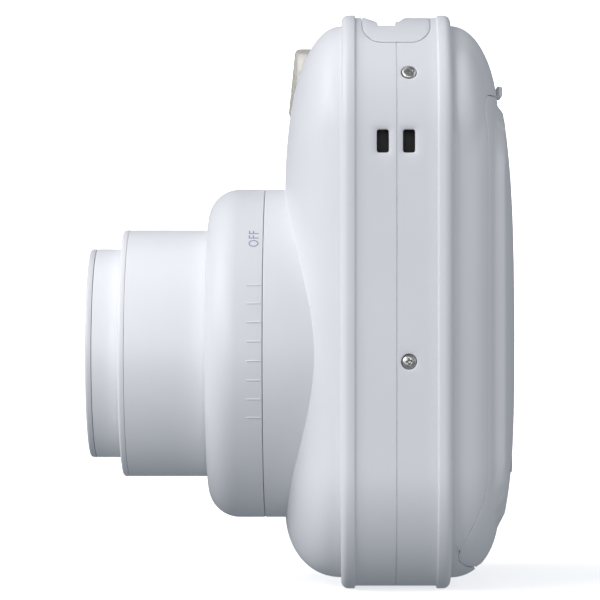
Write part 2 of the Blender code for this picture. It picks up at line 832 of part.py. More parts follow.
def make_coil(name, centre, radius, wire, start, end, turns, axis="Y"):
    """A compression spring of round wire: a curve with a bevel, made into a mesh."""
    curve = bpy.data.curves.new(name, "CURVE")
    curve.dimensions = "3D"
    curve.bevel_depth = wire
    curve.bevel_resolution = 0
    curve.use_fill_caps = True
    per_turn = 8
    count = turns * per_turn
    path = curve.splines.new("POLY")
    path.points.add(count)
    for i, point in enumerate(path.points):
        turn = 2 * math.pi * i / per_turn
        along = start + (end - start) * i / count
        across = (radius * math.cos(turn), radius * math.sin(turn))
        if axis == "Y":
            place = (centre.x + across[0], centre.y + along, centre.z + across[1])
        else:
            place = (centre.x + across[0], centre.y + across[1], centre.z + along)
        point.co = (*place, 1)
    holder = bpy.data.objects.new(name + "_curve", curve)
    bpy.context.scene.collection.objects.link(holder)
    bpy.context.view_layer.update()
    graph = bpy.context.evaluated_depsgraph_get()
    mesh = bpy.data.meshes.new_from_object(holder.evaluated_get(graph))
    bpy.data.objects.remove(holder)
    form = bmesh.new()
    form.from_mesh(mesh)
    bmesh.ops.remove_doubles(form, verts=form.verts[:], dist=1e-7)
    return to_object(name, form)


# Film path


def make_film_chamber():
    """The tub that holds the film pack, with the picture opening in its front wall."""
    wall = 1.1 * mm
    half = PACK[0] / 2
    front = FILM_Y - 1 * mm
    back = front + PACK[1] - 2.2 * mm
    chamfer = 3 * mm
    low, high = PACK_BOTTOM - wall, PACK_BOTTOM + PACK[2] + wall
    left, right = LENS_X - half - wall, LENS_X + half + wall
    outline = [
        (left + chamfer, low),
        (right - chamfer, low),
        (right, low + chamfer),
        (right, high),
        (left, high),
        (left, low + chamfer),
    ]
    tub = prism("film_chamber", outline, "Y", front - wall, back)
    inside = [
        (left + wall + chamfer, low + wall),
        (right - wall - chamfer, low + wall),
        (right - wall, low + wall + chamfer),
        (right - wall, high - wall),
        (left + wall, high - wall),
        (left + wall, low + wall + chamfer),
    ]
    picture = box(
        "picture",
        (LENS_X - PICTURE[0] / 2, -30 * mm, LENS_Z - PICTURE[1] / 2),
        (LENS_X + PICTURE[0] / 2, 0, LENS_Z + PICTURE[1] / 2),
    )
    film_slot = box(
        "film_slot",
        (LENS_X - 28 * mm, front - 0.3 * mm, high - 3 * mm),
        (LENS_X + 28 * mm, front + 3 * mm, high + 3 * mm),
    )
    claw_slot = box(
        "claw_slot",
        (left - mm, front + 0.4 * mm, PACK_BOTTOM + 6 * mm),
        (left + wall + 0.5 * mm, front + 2.6 * mm, PACK_BOTTOM + 22 * mm),
    )
    cut(tub, prism("inside", inside, "Y", front, back + mm), picture, film_slot, claw_slot)
    return finish(tub, "black_plastic")


def make_film_claw():
    """The claw beside the chamber that pushes each sheet up into the rollers."""
    left = LENS_X - PACK[0] / 2 - 1.1 * mm
    front = FILM_Y - 1 * mm
    outline = [
        (left - 1.5 * mm, PACK_BOTTOM + 2 * mm),
        (left - 0.4 * mm, PACK_BOTTOM + 2 * mm),
        (left - 0.4 * mm, PACK_BOTTOM + 8 * mm),
        (left + 0.7 * mm, PACK_BOTTOM + 8 * mm),
        (left + 0.7 * mm, PACK_BOTTOM + 10 * mm),
        (left - 0.4 * mm, PACK_BOTTOM + 12 * mm),
        (left - 0.4 * mm, PACK_BOTTOM + 30 * mm),
        (left - 1.5 * mm, PACK_BOTTOM + 30 * mm),
    ]
    claw = prism("film_claw", outline, "Y", front + 0.9 * mm, front + 2.1 * mm)
    return finish(claw, "steel", (left, front, PACK_BOTTOM + 2 * mm))


def gear_outline(centre, teeth, pitch, phase):
    """A gear of straight-sided teeth, slim enough to run with backlash."""
    outer = pitch + 0.8 * GEAR_MODULE
    root = pitch - 1.15 * GEAR_MODULE
    points = []
    for tooth in range(teeth):
        middle = phase + 2 * math.pi * tooth / teeth
        step = 2 * math.pi / teeth
        for radius, share in ((root, -0.29), (outer, -0.13), (outer, 0.13), (root, 0.29)):
            turn = middle + share * step
            points.append((centre.y + radius * math.cos(turn), centre.z + radius * math.sin(turn)))
    return points


def make_rollers():
    """The two rollers that squeeze the film, each with its gear and stub shafts."""
    shaft = 1.2 * mm
    meet = {"drive_roller": 0.0, "pressure_roller": math.pi / ROLLER_TEETH + math.pi}
    for name, axis in (("drive_roller", DRIVE_AXIS), ("pressure_roller", PRESSURE_AXIS)):
        place = (axis.y, axis.z)
        roller = rod(name, "X", place, ROLLER_RADIUS, *ROLLER_X, 20)
        core = rod(
            "core", "X", place, shaft, GEAR_X[0], ROLLER_X[1] + GAP + BRACKET_THICK + 0.4 * mm, 12
        )
        gear = prism("gear", gear_outline(axis, ROLLER_TEETH, ROLLER_PITCH, meet[name]), "X", *GEAR_X)
        join(roller, core, gear)
        finish(roller, "steel" if name == "drive_roller" else "rubber", axis)


def make_gear_train():
    """The idler between the drive roller and the motor's pinion, and the motor."""
    towards = math.atan2(DRIVE_AXIS.z - IDLER_AXIS.z, DRIVE_AXIS.y - IDLER_AXIS.y)
    # The drive roller's tooth 0 points along +Y. The idler has a space where a roller tooth meets it.
    back = towards + math.pi
    roller_offset = back / (2 * math.pi / ROLLER_TEETH)
    lead = (roller_offset - round(roller_offset)) * 2 * math.pi / ROLLER_TEETH
    idler_phase = towards + lead * ROLLER_TEETH / IDLER_TEETH + math.pi / IDLER_TEETH
    idler_teeth = gear_outline(IDLER_AXIS, IDLER_TEETH, IDLER_PITCH, idler_phase)
    gear = prism("idler_gear", idler_teeth, "X", *GEAR_X)
    bore = rod("bore", "X", (IDLER_AXIS.y, IDLER_AXIS.z), 1.3 * mm, GEAR_X[0] - mm, GEAR_X[1] + mm, 12)
    finish(cut(gear, bore), "grey_plastic", IDLER_AXIS)

    down = -math.pi / 2
    idler_offset = (down - idler_phase) / (2 * math.pi / IDLER_TEETH)
    lead = (idler_offset - round(idler_offset)) * 2 * math.pi / IDLER_TEETH
    pinion_phase = math.pi / 2 + lead * IDLER_TEETH / PINION_TEETH + math.pi / PINION_TEETH
    place = (PINION_AXIS.y, PINION_AXIS.z)
    motor_face = GEAR_X[0] - GAP
    pinion_teeth = gear_outline(PINION_AXIS, PINION_TEETH, PINION_PITCH, pinion_phase)
    pinion = prism("motor_pinion", pinion_teeth, "X", *GEAR_X)
    shaft = rod("shaft", "X", place, 0.9 * mm, motor_face - 3 * mm, GEAR_X[1], 10)
    finish(join(pinion, shaft), "brass", PINION_AXIS)

    motor = rod("motor", "X", place, 4.9 * mm, motor_face - 15 * mm, motor_face, 20)
    boss = rod("boss", "X", place, 1.2 * mm, motor_face - 3.5 * mm, motor_face + mm, 10)
    finish(cut(motor, boss), "steel")


def make_roller_brackets():
    """The side plates that carry the rollers, the left one with the idler's stub."""
    hole = 1.3 * mm
    for word, start in (("right", ROLLER_X[1] + GAP), ("left", BRACKET_LEFT_X)):
        left = word == "left"
        low_y = IDLER_AXIS.y - 3 * mm if left else DRIVE_AXIS.y - 3 * mm
        low_z = IDLER_AXIS.z - 3 * mm if left else ROLLER_Z - 3.6 * mm
        outline = [
            (DRIVE_AXIS.y - 3 * mm, ROLLER_Z + 4 * mm),
            (low_y, IDLER_AXIS.z + 2 * mm if left else ROLLER_Z - 1 * mm),
            (low_y, low_z),
            (-5.5 * mm, low_z),
            (-5.5 * mm, ROLLER_Z - 3.6 * mm),
            (PRESSURE_AXIS.y + 3 * mm, ROLLER_Z - 3.6 * mm),
            (PRESSURE_AXIS.y + 3 * mm, ROLLER_Z + 4 * mm),
        ]
        if not left:
            outline.pop(3)
            outline.pop(3)
        plate = prism("roller_bracket_" + word, outline, "X", start, start + BRACKET_THICK)
        for axis in (DRIVE_AXIS, PRESSURE_AXIS):
            place = (axis.y, axis.z)
            cut(plate, rod("hole", "X", place, hole, start - mm, start + BRACKET_THICK + mm, 12))
        if left:
            place = (IDLER_AXIS.y, IDLER_AXIS.z)
            join(plate, rod("stub", "X", place, 1.1 * mm, GEAR_X[0], start + 0.5 * mm, 12))
        finish(plate, "grey_plastic")


# Battery side


def make_battery_box():
    """The tray for two cells, open towards the battery cover."""
    wall = 1 * mm
    inner = -CELL_RADIUS - 0.3 * mm
    low = (CELL_X + inner + 1.4 * mm, CELL_YS[0] + inner, CELL_BOTTOM)
    high = (CELL_X - inner, CELL_YS[1] - inner, CELL_BOTTOM + CELL_LENGTH)
    tray = box(
        "battery_box",
        (low[0], low[1] - wall, low[2] - wall),
        (high[0] + wall, high[1] + wall, high[2] + wall),
    )
    far = low[0] - 5 * mm
    cut(tray, box("room", (far, low[1], low[2]), high))
    finish(tray, "black_plastic")
    spring_at = Vector((CELL_X, CELL_YS[0], CELL_BOTTOM))
    coil = make_coil("battery_spring", spring_at, 2.8 * mm, 0.3 * mm, 0.6 * mm, 4 * mm, 3, "Z")
    finish(coil, "steel")
    contact = box(
        "battery_contact",
        (CELL_X - 3.5 * mm, CELL_YS[0] - 3 * mm, high[2] - 0.8 * mm),
        (CELL_X + 3.5 * mm, CELL_YS[1] + 3 * mm, high[2] - 0.3 * mm),
    )
    finish(contact, "steel")


def make_battery_cover():
    """The part of the side that swings out, hinged along its rear edge."""
    cover = keep(outer_body("battery_cover"), cover_prism("opening", 0))
    cut(cover, inner_body(WALL))
    pivot = Vector((COVER_HINGE_X, COVER_Y[1] + GAP / 2, (COVER_Z[0] + COVER_Z[1]) / 2))
    return finish(cover, "white_shell", pivot)


def make_board():
    board = box("main_board", (44 * mm, -8.6 * mm, 24 * mm), (45.2 * mm, 9.6 * mm, 84 * mm))
    finish(board, "board_green")


# Door


def make_door():
    """The film door with its raised plateau, and what it carries."""
    door = keep(outer_body("back_door"), door_prism("outline", 0, DOOR_START_Y, 60 * mm))
    surface = RIB_OUTER + REAR_DEPTH
    plateau = loft(
        "plateau",
        [body_ring(y, half, bottom, top, FLAT_RADIUS) for y, half, bottom, top in PLATEAU],
    )
    join(door, plateau)
    window = door_window("hole", 0, 10 * mm, 40 * mm)
    counter = rod("counter_hole", "Y", COUNTER, 2.6 * mm, 10 * mm, 40 * mm, 16)
    cut(door, inner_body(WALL), window, counter, hinge_rod("knuckle", HINGE_PIN, GAP))
    hinge = Vector((0, HINGE_Y, HINGE_Z))
    finish(door, "white_shell", hinge)

    liner_back = surface - WALL - GAP
    liner = body_ring(liner_back, DOOR_HALF - 12.4 * mm, 19.5 * mm, 98 * mm, 4 * mm)
    plate = prism("door_liner", [(x, z) for x, _, z in liner], "Y", liner_back - 1.2 * mm, liner_back)
    counter_hole = rod("hole", "Y", COUNTER, 4.4 * mm, 10 * mm, 40 * mm, 16)
    cut(plate, door_window("hole", 0, 10 * mm, 40 * mm), counter_hole)
    finish(plate, "black_plastic", hinge, door)

    pane = door_window("film_window", -GAP, surface - WALL + 0.1 * mm, DOOR_BACK - 0.6 * mm)
    finish(pane, "clear_cover", hinge, door)
    profile = disc_profile(2.3 * mm, DOOR_BACK - 0.6 * mm, DOOR_BACK - 1.6 * mm)
    lens = turned("counter_window", profile, COUNTER, 16)
    finish(lens, "clear_cover", hinge, door)

    for name, z in (("pressure_spring_lower", 34 * mm), ("pressure_spring_upper", 84 * mm)):
        bow = [
            (LENS_X - 10 * mm, liner_back - 1.5 * mm),
            (LENS_X + 10 * mm, liner_back - 1.5 * mm),
            (LENS_X + 4 * mm, liner_back - 4.4 * mm),
            (LENS_X - 4 * mm, liner_back - 4.4 * mm),
        ]
        inner = [
            (LENS_X - 7.4 * mm, liner_back - 1.2 * mm),
            (LENS_X + 7.4 * mm, liner_back - 1.2 * mm),
            (LENS_X + 3.4 * mm, liner_back - 3.9 * mm),
            (LENS_X - 3.4 * mm, liner_back - 3.9 * mm),
        ]
        spring = cut(
            prism(name, bow, "Z", z - 3 * mm, z + 3 * mm),
            prism("inside", inner, "Z", z - 5 * mm, z + 5 * mm),
        )
        finish(spring, "steel", hinge, door)
    return door


def door_window(name, grow, start, end):
    """The film check window's outline, along Y."""
    half_x, half_z = WINDOW_HALF[0] + grow, WINDOW_HALF[1] + grow
    low = (LENS_X - half_x, start, WINDOW_Z - half_z)
    high = (LENS_X + half_x, end, WINDOW_Z + half_z)
    return box(name, low, high)


def latch_slot():
    """The slot in the rear case that the latch's stem slides up in."""
    low = (LATCH_X - 4 * mm - GAP, 15 * mm, LATCH_Z - 0.7 * mm - GAP)
    high = (LATCH_X + 4 * mm + GAP, 30 * mm, LATCH_Z + 0.7 * mm + LATCH_TRAVEL + GAP)
    return box("latch_slot", low, high)


def make_latch():
    """The door release above the door: a nub outside, a stem, and a plate inside."""
    surface = RIB_OUTER + REAR_DEPTH
    outline = [
        (surface + 0.3 * mm, LATCH_Z - 1.2 * mm),
        (surface + 0.9 * mm, LATCH_Z - 1.2 * mm),
        (surface + 1.2 * mm, LATCH_Z - 0.7 * mm),
        (surface + 1.2 * mm, LATCH_Z + 0.7 * mm),
        (surface + 0.9 * mm, LATCH_Z + 1.2 * mm),
        (surface + 0.3 * mm, LATCH_Z + 1.2 * mm),
    ]
    nub = prism("door_latch", outline, "X", LATCH_X - 6.5 * mm, LATCH_X + 6.5 * mm)
    stem = box(
        "stem",
        (LATCH_X - 4 * mm, surface - WALL - 0.8 * mm, LATCH_Z - 0.7 * mm),
        (LATCH_X + 4 * mm, surface + 0.8 * mm, LATCH_Z + 0.7 * mm),
    )
    plate = box(
        "plate",
        (LATCH_X - 6 * mm, surface - WALL - 1.4 * mm, LATCH_Z - 1 * mm),
        (LATCH_X + 6 * mm, surface - WALL - 0.4 * mm, LATCH_Z + 1 * mm),
    )
    finish(join(nub, stem, plate), "white_trim", (LATCH_X, surface, LATCH_Z))


def make_counter_disc(door):
    """The numbered disc that the frame counter's window looks at."""
    inner = RIB_OUTER + REAR_DEPTH - WALL
    disc = rod("counter_disc", "Y", COUNTER, 4.1 * mm, inner - 1.2 * mm, inner - 0.4 * mm, 20)
    finish(disc, "white_trim", (COUNTER[0], inner, COUNTER[1]), door)


def make_door_hinge_pin():
    finish(hinge_rod("door_hinge_pin", HINGE_PIN), "steel")


def make_side_screws():
    """Cross-head screws in the sides: two left and two right."""
    for side, word in ((1, "left"), (-1, "right")):
        for height, level in zip(SCREW_HEIGHTS[side], ("lower", "upper")):
            seat = screw_seat(height) - 0.5 * mm + 0.1 * mm
            name = f"side_screw_{word}_{level}"
            place = (SCREW_Y, height)
            head_end = side * (seat + 0.45 * mm)
            head = rod(name, "X", place, SCREW_RADIUS, side * seat, head_end, 16)
            blade = 0.25 * mm
            for half_y, half_z in ((0.9 * mm, blade), (blade, 0.9 * mm)):
                near, far = sorted((side * (seat + 0.15 * mm), side * (seat + 2 * mm)))
                slot = box(
                    "slot",
                    (near, SCREW_Y - half_y, height - half_z),
                    (far, SCREW_Y + half_y, height + half_z),
                )
                cut(head, slot)
            finish(head, "steel")


for leftover in list(bpy.data.objects):
    bpy.data.objects.remove(leftover)

assembly = bpy.data.objects.new("assembly", None)
bpy.context.scene.collection.objects.link(assembly)
assembly.location = (0, SEAM_Y, 0)

make_front_case()
make_rear_case()
make_film_exit_frame()
make_lens_collar()
make_dial_ring()
mid_barrel, front_barrel = make_barrels()
make_lens_face(front_barrel)
make_shutter(front_barrel)
make_flash()
make_viewfinder()
make_shutter_button()
make_film_chamber()
make_film_claw()
make_rollers()
make_gear_train()
make_roller_brackets()
make_battery_box()
make_battery_cover()
make_board()
back_door = make_door()
make_latch()
make_counter_disc(back_door)
make_door_hinge_pin()
make_side_screws()
bpy.context.view_layer.update()
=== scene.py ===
"""Looks of the instant camera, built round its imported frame. Metres, lens towards -Y.

Pieces are modelled with Y measured from the parting plane between the two cases, as the CAD is,
and moved to the frame's own Y when they are finished.
"""

import json
import math

import bmesh
import bpy
from mathutils import Matrix, Vector

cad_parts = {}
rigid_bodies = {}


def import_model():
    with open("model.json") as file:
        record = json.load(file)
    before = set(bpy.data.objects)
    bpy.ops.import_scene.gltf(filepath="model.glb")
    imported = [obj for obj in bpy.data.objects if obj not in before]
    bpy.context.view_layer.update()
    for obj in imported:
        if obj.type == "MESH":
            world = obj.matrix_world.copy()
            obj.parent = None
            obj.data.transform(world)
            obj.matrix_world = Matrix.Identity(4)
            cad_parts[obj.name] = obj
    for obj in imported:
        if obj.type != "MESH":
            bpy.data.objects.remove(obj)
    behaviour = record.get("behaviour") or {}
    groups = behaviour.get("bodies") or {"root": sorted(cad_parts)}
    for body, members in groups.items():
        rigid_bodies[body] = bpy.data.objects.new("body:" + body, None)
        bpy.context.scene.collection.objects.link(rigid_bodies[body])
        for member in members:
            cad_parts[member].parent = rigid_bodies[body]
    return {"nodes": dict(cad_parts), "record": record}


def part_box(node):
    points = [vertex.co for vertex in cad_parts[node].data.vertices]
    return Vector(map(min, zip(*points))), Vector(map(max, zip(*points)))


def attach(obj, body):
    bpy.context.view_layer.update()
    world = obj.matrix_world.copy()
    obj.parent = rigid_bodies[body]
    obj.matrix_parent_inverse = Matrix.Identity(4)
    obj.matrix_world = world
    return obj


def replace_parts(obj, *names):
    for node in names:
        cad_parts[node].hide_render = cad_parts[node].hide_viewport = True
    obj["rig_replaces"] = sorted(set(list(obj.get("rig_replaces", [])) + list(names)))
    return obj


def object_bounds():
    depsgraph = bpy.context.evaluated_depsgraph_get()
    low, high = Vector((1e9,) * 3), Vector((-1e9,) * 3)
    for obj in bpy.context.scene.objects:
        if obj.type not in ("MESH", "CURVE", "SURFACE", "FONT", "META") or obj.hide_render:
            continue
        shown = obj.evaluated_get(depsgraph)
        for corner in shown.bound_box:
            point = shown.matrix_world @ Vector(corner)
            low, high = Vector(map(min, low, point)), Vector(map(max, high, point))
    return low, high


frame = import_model()
cad_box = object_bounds()

mm = 0.001


# Places read from the frame


def cad_low(node):
    return Vector(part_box(node)[0])


def cad_high(node):
    return Vector(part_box(node)[1])


SEAM_Y = (cad_high("front_case").y + cad_low("rear_case").y) / 2
WIDTH = cad_box[1][0] - cad_box[0][0]
HEIGHT = cad_box[1][2] - cad_box[0][2]
RING_LOW, RING_HIGH = cad_low("dial_ring"), cad_high("dial_ring")
LENS_X = (RING_LOW.x + RING_HIGH.x) / 2
LENS_Z = (RING_LOW.z + RING_HIGH.z) / 2
RING_RADIUS = (RING_HIGH.z - RING_LOW.z) / 2
RING_FRONT = RING_LOW.y - SEAM_Y
RING_BACK = RING_HIGH.y - SEAM_Y
MID_RADIUS = (cad_high("mid_barrel").z - cad_low("mid_barrel").z) / 2
MID_FRONT = cad_low("mid_bezel").y - SEAM_Y
MID_BACK = cad_high("mid_barrel").y - SEAM_Y
TIP_RADIUS = (cad_high("front_barrel").z - cad_low("front_barrel").z) / 2
TIP_FRONT = cad_low("front_bezel").y - SEAM_Y
TIP_BACK = cad_high("front_barrel").y - SEAM_Y
COLLAR_BACK = cad_high("lens_collar").y - SEAM_Y
DOOR_BACK = cad_high("back_door").y - SEAM_Y
DOOR_HALF = cad_high("back_door").x
DOOR_BOTTOM = cad_low("back_door").z
DOOR_TOP = cad_high("back_door").z
DOOR_START = cad_low("back_door").y - SEAM_Y
HINGE_Y = (cad_low("door_hinge_pin").y + cad_high("door_hinge_pin").y) / 2 - SEAM_Y
HINGE_Z = (cad_low("door_hinge_pin").z + cad_high("door_hinge_pin").z) / 2
# The raised middle of the door
PLATEAU_START = 22.3 * mm
PLATEAU_HALF = 42.2 * mm
PLATEAU_LOW, PLATEAU_HIGH = 13.6 * mm, 101.8 * mm
PLATEAU_RADIUS = 13 * mm

# Casing surfaces, as the cases have them
CORNER_RADIUS = 25 * mm
WALL = 2 * mm
RIB_OUTER = 11.5 * mm
RIB_INNER = 8.6 * mm
RIB_ROUND = 1.5 * mm
BAND_INSET = 0.55 * mm
DOME_INSET = 2.2 * mm
FRONT_DEPTH = 12.2 * mm
FRONT_FLAT = (15 * mm, 15.5 * mm, 84 * mm)
FRONT_BASE_HALF = 47.6 * mm
REAR_DEPTH = 10.4 * mm
REAR_FLAT = (35 * mm, 16 * mm, 97 * mm)
REAR_BASE_HALF = 48.6 * mm
DOME_POWER = 2.1
FLAT_RADIUS = 13 * mm
FRAME_HALF = (cad_high("film_exit_frame").y - cad_low("film_exit_frame").y) / 2
FRAME_BOTTOM = cad_low("film_exit_frame").z
GROOVE = (-3.85 * mm, -0.2 * mm)
GROOVE_DEPTH = 2.3 * mm
DOOR_BOTTOM_RADIUS = 12 * mm
DOOR_TOP_RADIUS = 4 * mm

CROWN = 0.75 * mm  # drop of the top towards the sides
SEAM = 0.03 * mm  # half of a fine parting line
SOFT_EDGE = 0.12 * mm

# How finely round things are made
CORNER_STEPS = 22
SIDE_STEPS = 24
DOME_STEPS = 34
TURN_STEPS = 160


# Mesh helpers


def to_object(name, form):
    """A linked object from a bmesh, with its faces pointing out."""
    bmesh.ops.recalc_face_normals(form, faces=form.faces[:])
    if form.calc_volume(signed=True) < 0:
        bmesh.ops.reverse_faces(form, faces=form.faces[:])
    mesh = bpy.data.meshes.new(name)
    form.to_mesh(mesh)
    form.free()
    made = bpy.data.objects.new(name, mesh)
    bpy.context.scene.collection.objects.link(made)
    return made


def loft(name, rings):
    """A closed solid through rings of equal point counts, flat at both ends."""
    form = bmesh.new()
    rows = [[form.verts.new(point) for point in ring] for ring in rings]
    count = len(rows[0])
    for row, after in zip(rows, rows[1:]):
        for i in range(count):
            j = (i + 1) % count
            form.faces.new((row[i], row[j], after[j], after[i]))
    form.faces.new(rows[0])
    form.faces.new(reversed(rows[-1]))
    return to_object(name, form)


def prism(name, outline, axis, start, end):
    """An outline extruded along X, Y or Z. Its points hold the two other coordinates in order."""
    place = {
        "X": lambda a, b, along: (along, a, b),
        "Y": lambda a, b, along: (a, along, b),
        "Z": lambda a, b, along: (a, b, along),
    }[axis]
    return loft(name, [[place(a, b, along) for a, b in outline] for along in (start, end)])


def box(name, low, high):
    outline = [(low[0], low[1]), (high[0], low[1]), (high[0], high[1]), (low[0], high[1])]
    return prism(name, outline, "Z", low[2], high[2])


def circle(centre, radius, steps):
    turns = [2 * math.pi * i / steps for i in range(steps)]
    return [(centre[0] + radius * math.cos(t), centre[1] + radius * math.sin(t)) for t in turns]


def rod(name, axis, centre, radius, start, end, steps=48):
    """A cylinder along X, Y or Z, round the point whose two other coordinates are given."""
    return prism(name, circle(centre, radius, steps), axis, start, end)


def rounded(corners, steps=5):
    """A closed outline from (a, b, radius) corners, each turned into an arc of that radius."""
    points = []
    for i, (a, b, radius) in enumerate(corners):
        here = Vector((a, b))
        before = Vector(corners[i - 1][:2]) - here
        after = Vector(corners[(i + 1) % len(corners)][:2]) - here
        if radius == 0:
            points.append((a, b))
            continue
        half = before.angle(after) / 2
        reach = min(radius / math.tan(half), 0.48 * before.length, 0.48 * after.length)
        radius = reach * math.tan(half)
        middle = here + (before.normalized() + after.normalized()).normalized() * radius / math.sin(half)
        start = here + before.normalized() * reach - middle
        end = here + after.normalized() * reach - middle
        sweep = start.angle_signed(end)
        for step in range(steps + 1):
            turn = -sweep * step / steps
            points.append(
                (
                    middle.x + start.x * math.cos(turn) - start.y * math.sin(turn),
                    middle.y + start.x * math.sin(turn) + start.y * math.cos(turn),
                )
            )
    return points


def rounded_box(low, high, radius, steps=5):
    """A rectangle's outline between two corners, all four rounded alike."""
    (a, b), (c, d) = low, high
    return rounded([(a, b, radius), (c, b, radius), (c, d, radius), (a, d, radius)], steps)


def turned(name, corners, centre=(LENS_X, LENS_Z), steps=TURN_STEPS):
    """A profile of (radius, y, corner radius) points spun round an axis along Y."""
    profile = rounded(corners)
    form = bmesh.new()
    points = [form.verts.new((centre[0] + r, y, centre[1])) for r, y in profile]
    edges = [form.edges.new((a, b)) for a, b in zip(points, points[1:] + points[:1])]
    bmesh.ops.spin(
        form,
        geom=points + edges,
        cent=(centre[0], 0, centre[1]),
        axis=(0, 1, 0),
        angle=2 * math.pi,
        steps=steps,
        use_merge=True,
    )
    bmesh.ops.remove_doubles(form, verts=form.verts[:], dist=1e-6)
    flat = [face for face in form.faces if face.calc_area() < 1e-12]
    bmesh.ops.delete(form, geom=flat, context="FACES")
    return to_object(name, form)


def bulge(radius, middle, edge, steps=8):
    """Profile corners from the axis out to a radius, curving from one Y to another."""
    shares = [i / steps for i in range(steps + 1)]
    return [(radius * share, middle + (edge - middle) * share**2, 0) for share in shares]


def arc(centre_r, centre_y, radius, turns):
    """Profile corners on an arc, at turns from the outermost point towards -Y."""
    return [(centre_r + radius * math.cos(t), centre_y - radius * math.sin(t), 0) for t in turns]


def applied(node):
    """Turns a node's modifiers into plain mesh."""
    bpy.context.view_layer.update()
    graph = bpy.context.evaluated_depsgraph_get()
    result = bpy.data.meshes.new_from_object(node.evaluated_get(graph))
    node.modifiers.clear()
    node.data = result
    return node


def boolean(target, operation, *tools):
    """Applies each tool to the target with an exact Boolean, then removes the tool."""
    for tool in tools:
        modifier = target.modifiers.new(operation, "BOOLEAN")
        modifier.operation = operation
        modifier.solver = "EXACT"
        modifier.object = tool
        applied(target)
        bpy.data.objects.remove(tool)
    return target


def cut(target, *tools):
    return boolean(target, "DIFFERENCE", *tools)


def join(target, *tools):
    return boolean(target, "UNION", *tools)


def keep(target, *tools):
    return boolean(target, "INTERSECT", *tools)


def soften(node, width=SOFT_EDGE, angle=38, segments=2):
    """Rounds a node's sharp edges."""
    form = bmesh.new()
    form.from_mesh(node.data)
    bmesh.ops.remove_doubles(form, verts=form.verts[:], dist=0.25 * width)
    bmesh.ops.dissolve_degenerate(form, edges=form.edges[:], dist=0.1 * width)
    form.to_mesh(node.data)
    form.free()
    bevel = node.modifiers.new("soft", "BEVEL")
    bevel.width = width
    bevel.segments = segments
    bevel.limit_method = "ANGLE"
    bevel.angle_limit = math.radians(angle)
    bevel.use_clamp_overlap = False
    bevel.harden_normals = False
    return applied(node)


def finish(node, look, body, stands_for=(), smooth=35):
    """Gives a piece its material and shading, moves it to the frame's Y, and lets it ride."""
    mesh = node.data
    mesh.materials.clear()
    mesh.materials.append(material(look))
    mesh.shade_smooth()
    mesh.set_sharp_from_angle(angle=math.radians(smooth))
    mesh.transform(Matrix.Translation((0, SEAM_Y, 0)))
    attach(node, body)
    if stands_for:
        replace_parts(node, *stands_for)
    return node


# Materials


def shader_of(name, roughness, **sockets):
    """A new material's tree and its Principled shader, with plain values on the shader's sockets."""
    made = bpy.data.materials.new(name)
    made.use_nodes = True
    tree = made.node_tree
    shader = tree.nodes["Principled BSDF"]
    shader.inputs["Roughness"].default_value = roughness
    for socket, value in sockets.items():
        shader.inputs[socket.replace("_", " ")].default_value = value
    return made, tree, shader


def add(tree, kind, **settings):
    """A node with its settings; a setting that names a socket sets that socket's value."""
    node = tree.nodes.new(kind)
    for key, value in settings.items():
        if hasattr(node, key):
            setattr(node, key, value)
        else:
            node.inputs[key.replace("_", " ")].default_value = value
    return node


def object_noise(tree, scale, detail=3.0, roughness=0.5):
    place = tree.nodes.new("ShaderNodeTexCoord")
    noise = add(tree, "ShaderNodeTexNoise", Scale=scale, Detail=detail, Roughness=roughness)
    tree.links.new(place.outputs["Object"], noise.inputs["Vector"])
    return noise


def two_tone(tree, noise, low, high, socket, first=0.35, last=0.65):
    """Runs a socket between two colours by the noise."""
    ramp = tree.nodes.new("ShaderNodeValToRGB")
    ramp.color_ramp.elements[0].position = first
    ramp.color_ramp.elements[1].position = last
    ramp.color_ramp.elements[0].color = (*low, 1)
    ramp.color_ramp.elements[1].color = (*high, 1)
    tree.links.new(noise.outputs["Fac"], ramp.inputs["Fac"])
    tree.links.new(ramp.outputs["Color"], socket)


def varied(tree, noise, low, high, socket):
    """Runs a number socket between two values by the noise."""
    spread = add(tree, "ShaderNodeMapRange")
    spread.inputs["To Min"].default_value = low
    spread.inputs["To Max"].default_value = high
    tree.links.new(noise.outputs["Fac"], spread.inputs["Value"])
    tree.links.new(spread.outputs["Result"], socket)


def bumped(tree, shader, noise, strength, distance):
    bump = add(tree, "ShaderNodeBump", Strength=strength, Distance=distance)
    tree.links.new(noise.outputs["Fac"], bump.inputs["Height"])
    tree.links.new(bump.outputs["Normal"], shader.inputs["Normal"])


def moulded(name, colour, roughness, grain=2600, strength=0.06, specular=0.45):
    """Injection-moulded plastic: slight colour drift, patchy gloss and a fine moulded grain."""
    made, tree, shader = shader_of(name, roughness, Specular_IOR_Level=specular)
    drift = object_noise(tree, 38, 2)
    darker = [0.975 * part for part in colour]
    two_tone(tree, drift, darker, colour, shader.inputs["Base Color"])
    patches = object_noise(tree, 160, 3)
    varied(tree, patches, roughness - 0.04, roughness + 0.05, shader.inputs["Roughness"])
    bumped(tree, shader, object_noise(tree, grain, 2), strength, 0.00006)
    return made


def white_shell():
    return moulded("white_shell_look", (0.80, 0.80, 0.835), 0.42)


def white_trim():
    return moulded("white_trim_look", (0.79, 0.79, 0.83), 0.34, strength=0.03)


# The barrels' plastic gets a brighter white than the shell's (0.91 against 0.80). This is painted light,
# standing in for the stronger light that falls on the barrels towards the lens front.
def barrel_plastic():
    return moulded("barrel_plastic_painted_light_look", (0.91, 0.91, 0.94), 0.38, strength=0.04)


def black_plastic():
    return moulded("black_plastic_look", (0.018, 0.018, 0.02), 0.5, strength=0.2)


def grey_plastic():
    return moulded("grey_plastic_look", (0.42, 0.43, 0.45), 0.5)


def print_ink():
    return moulded("print_ink_look", (0.36, 0.35, 0.50), 0.6, strength=0.02)


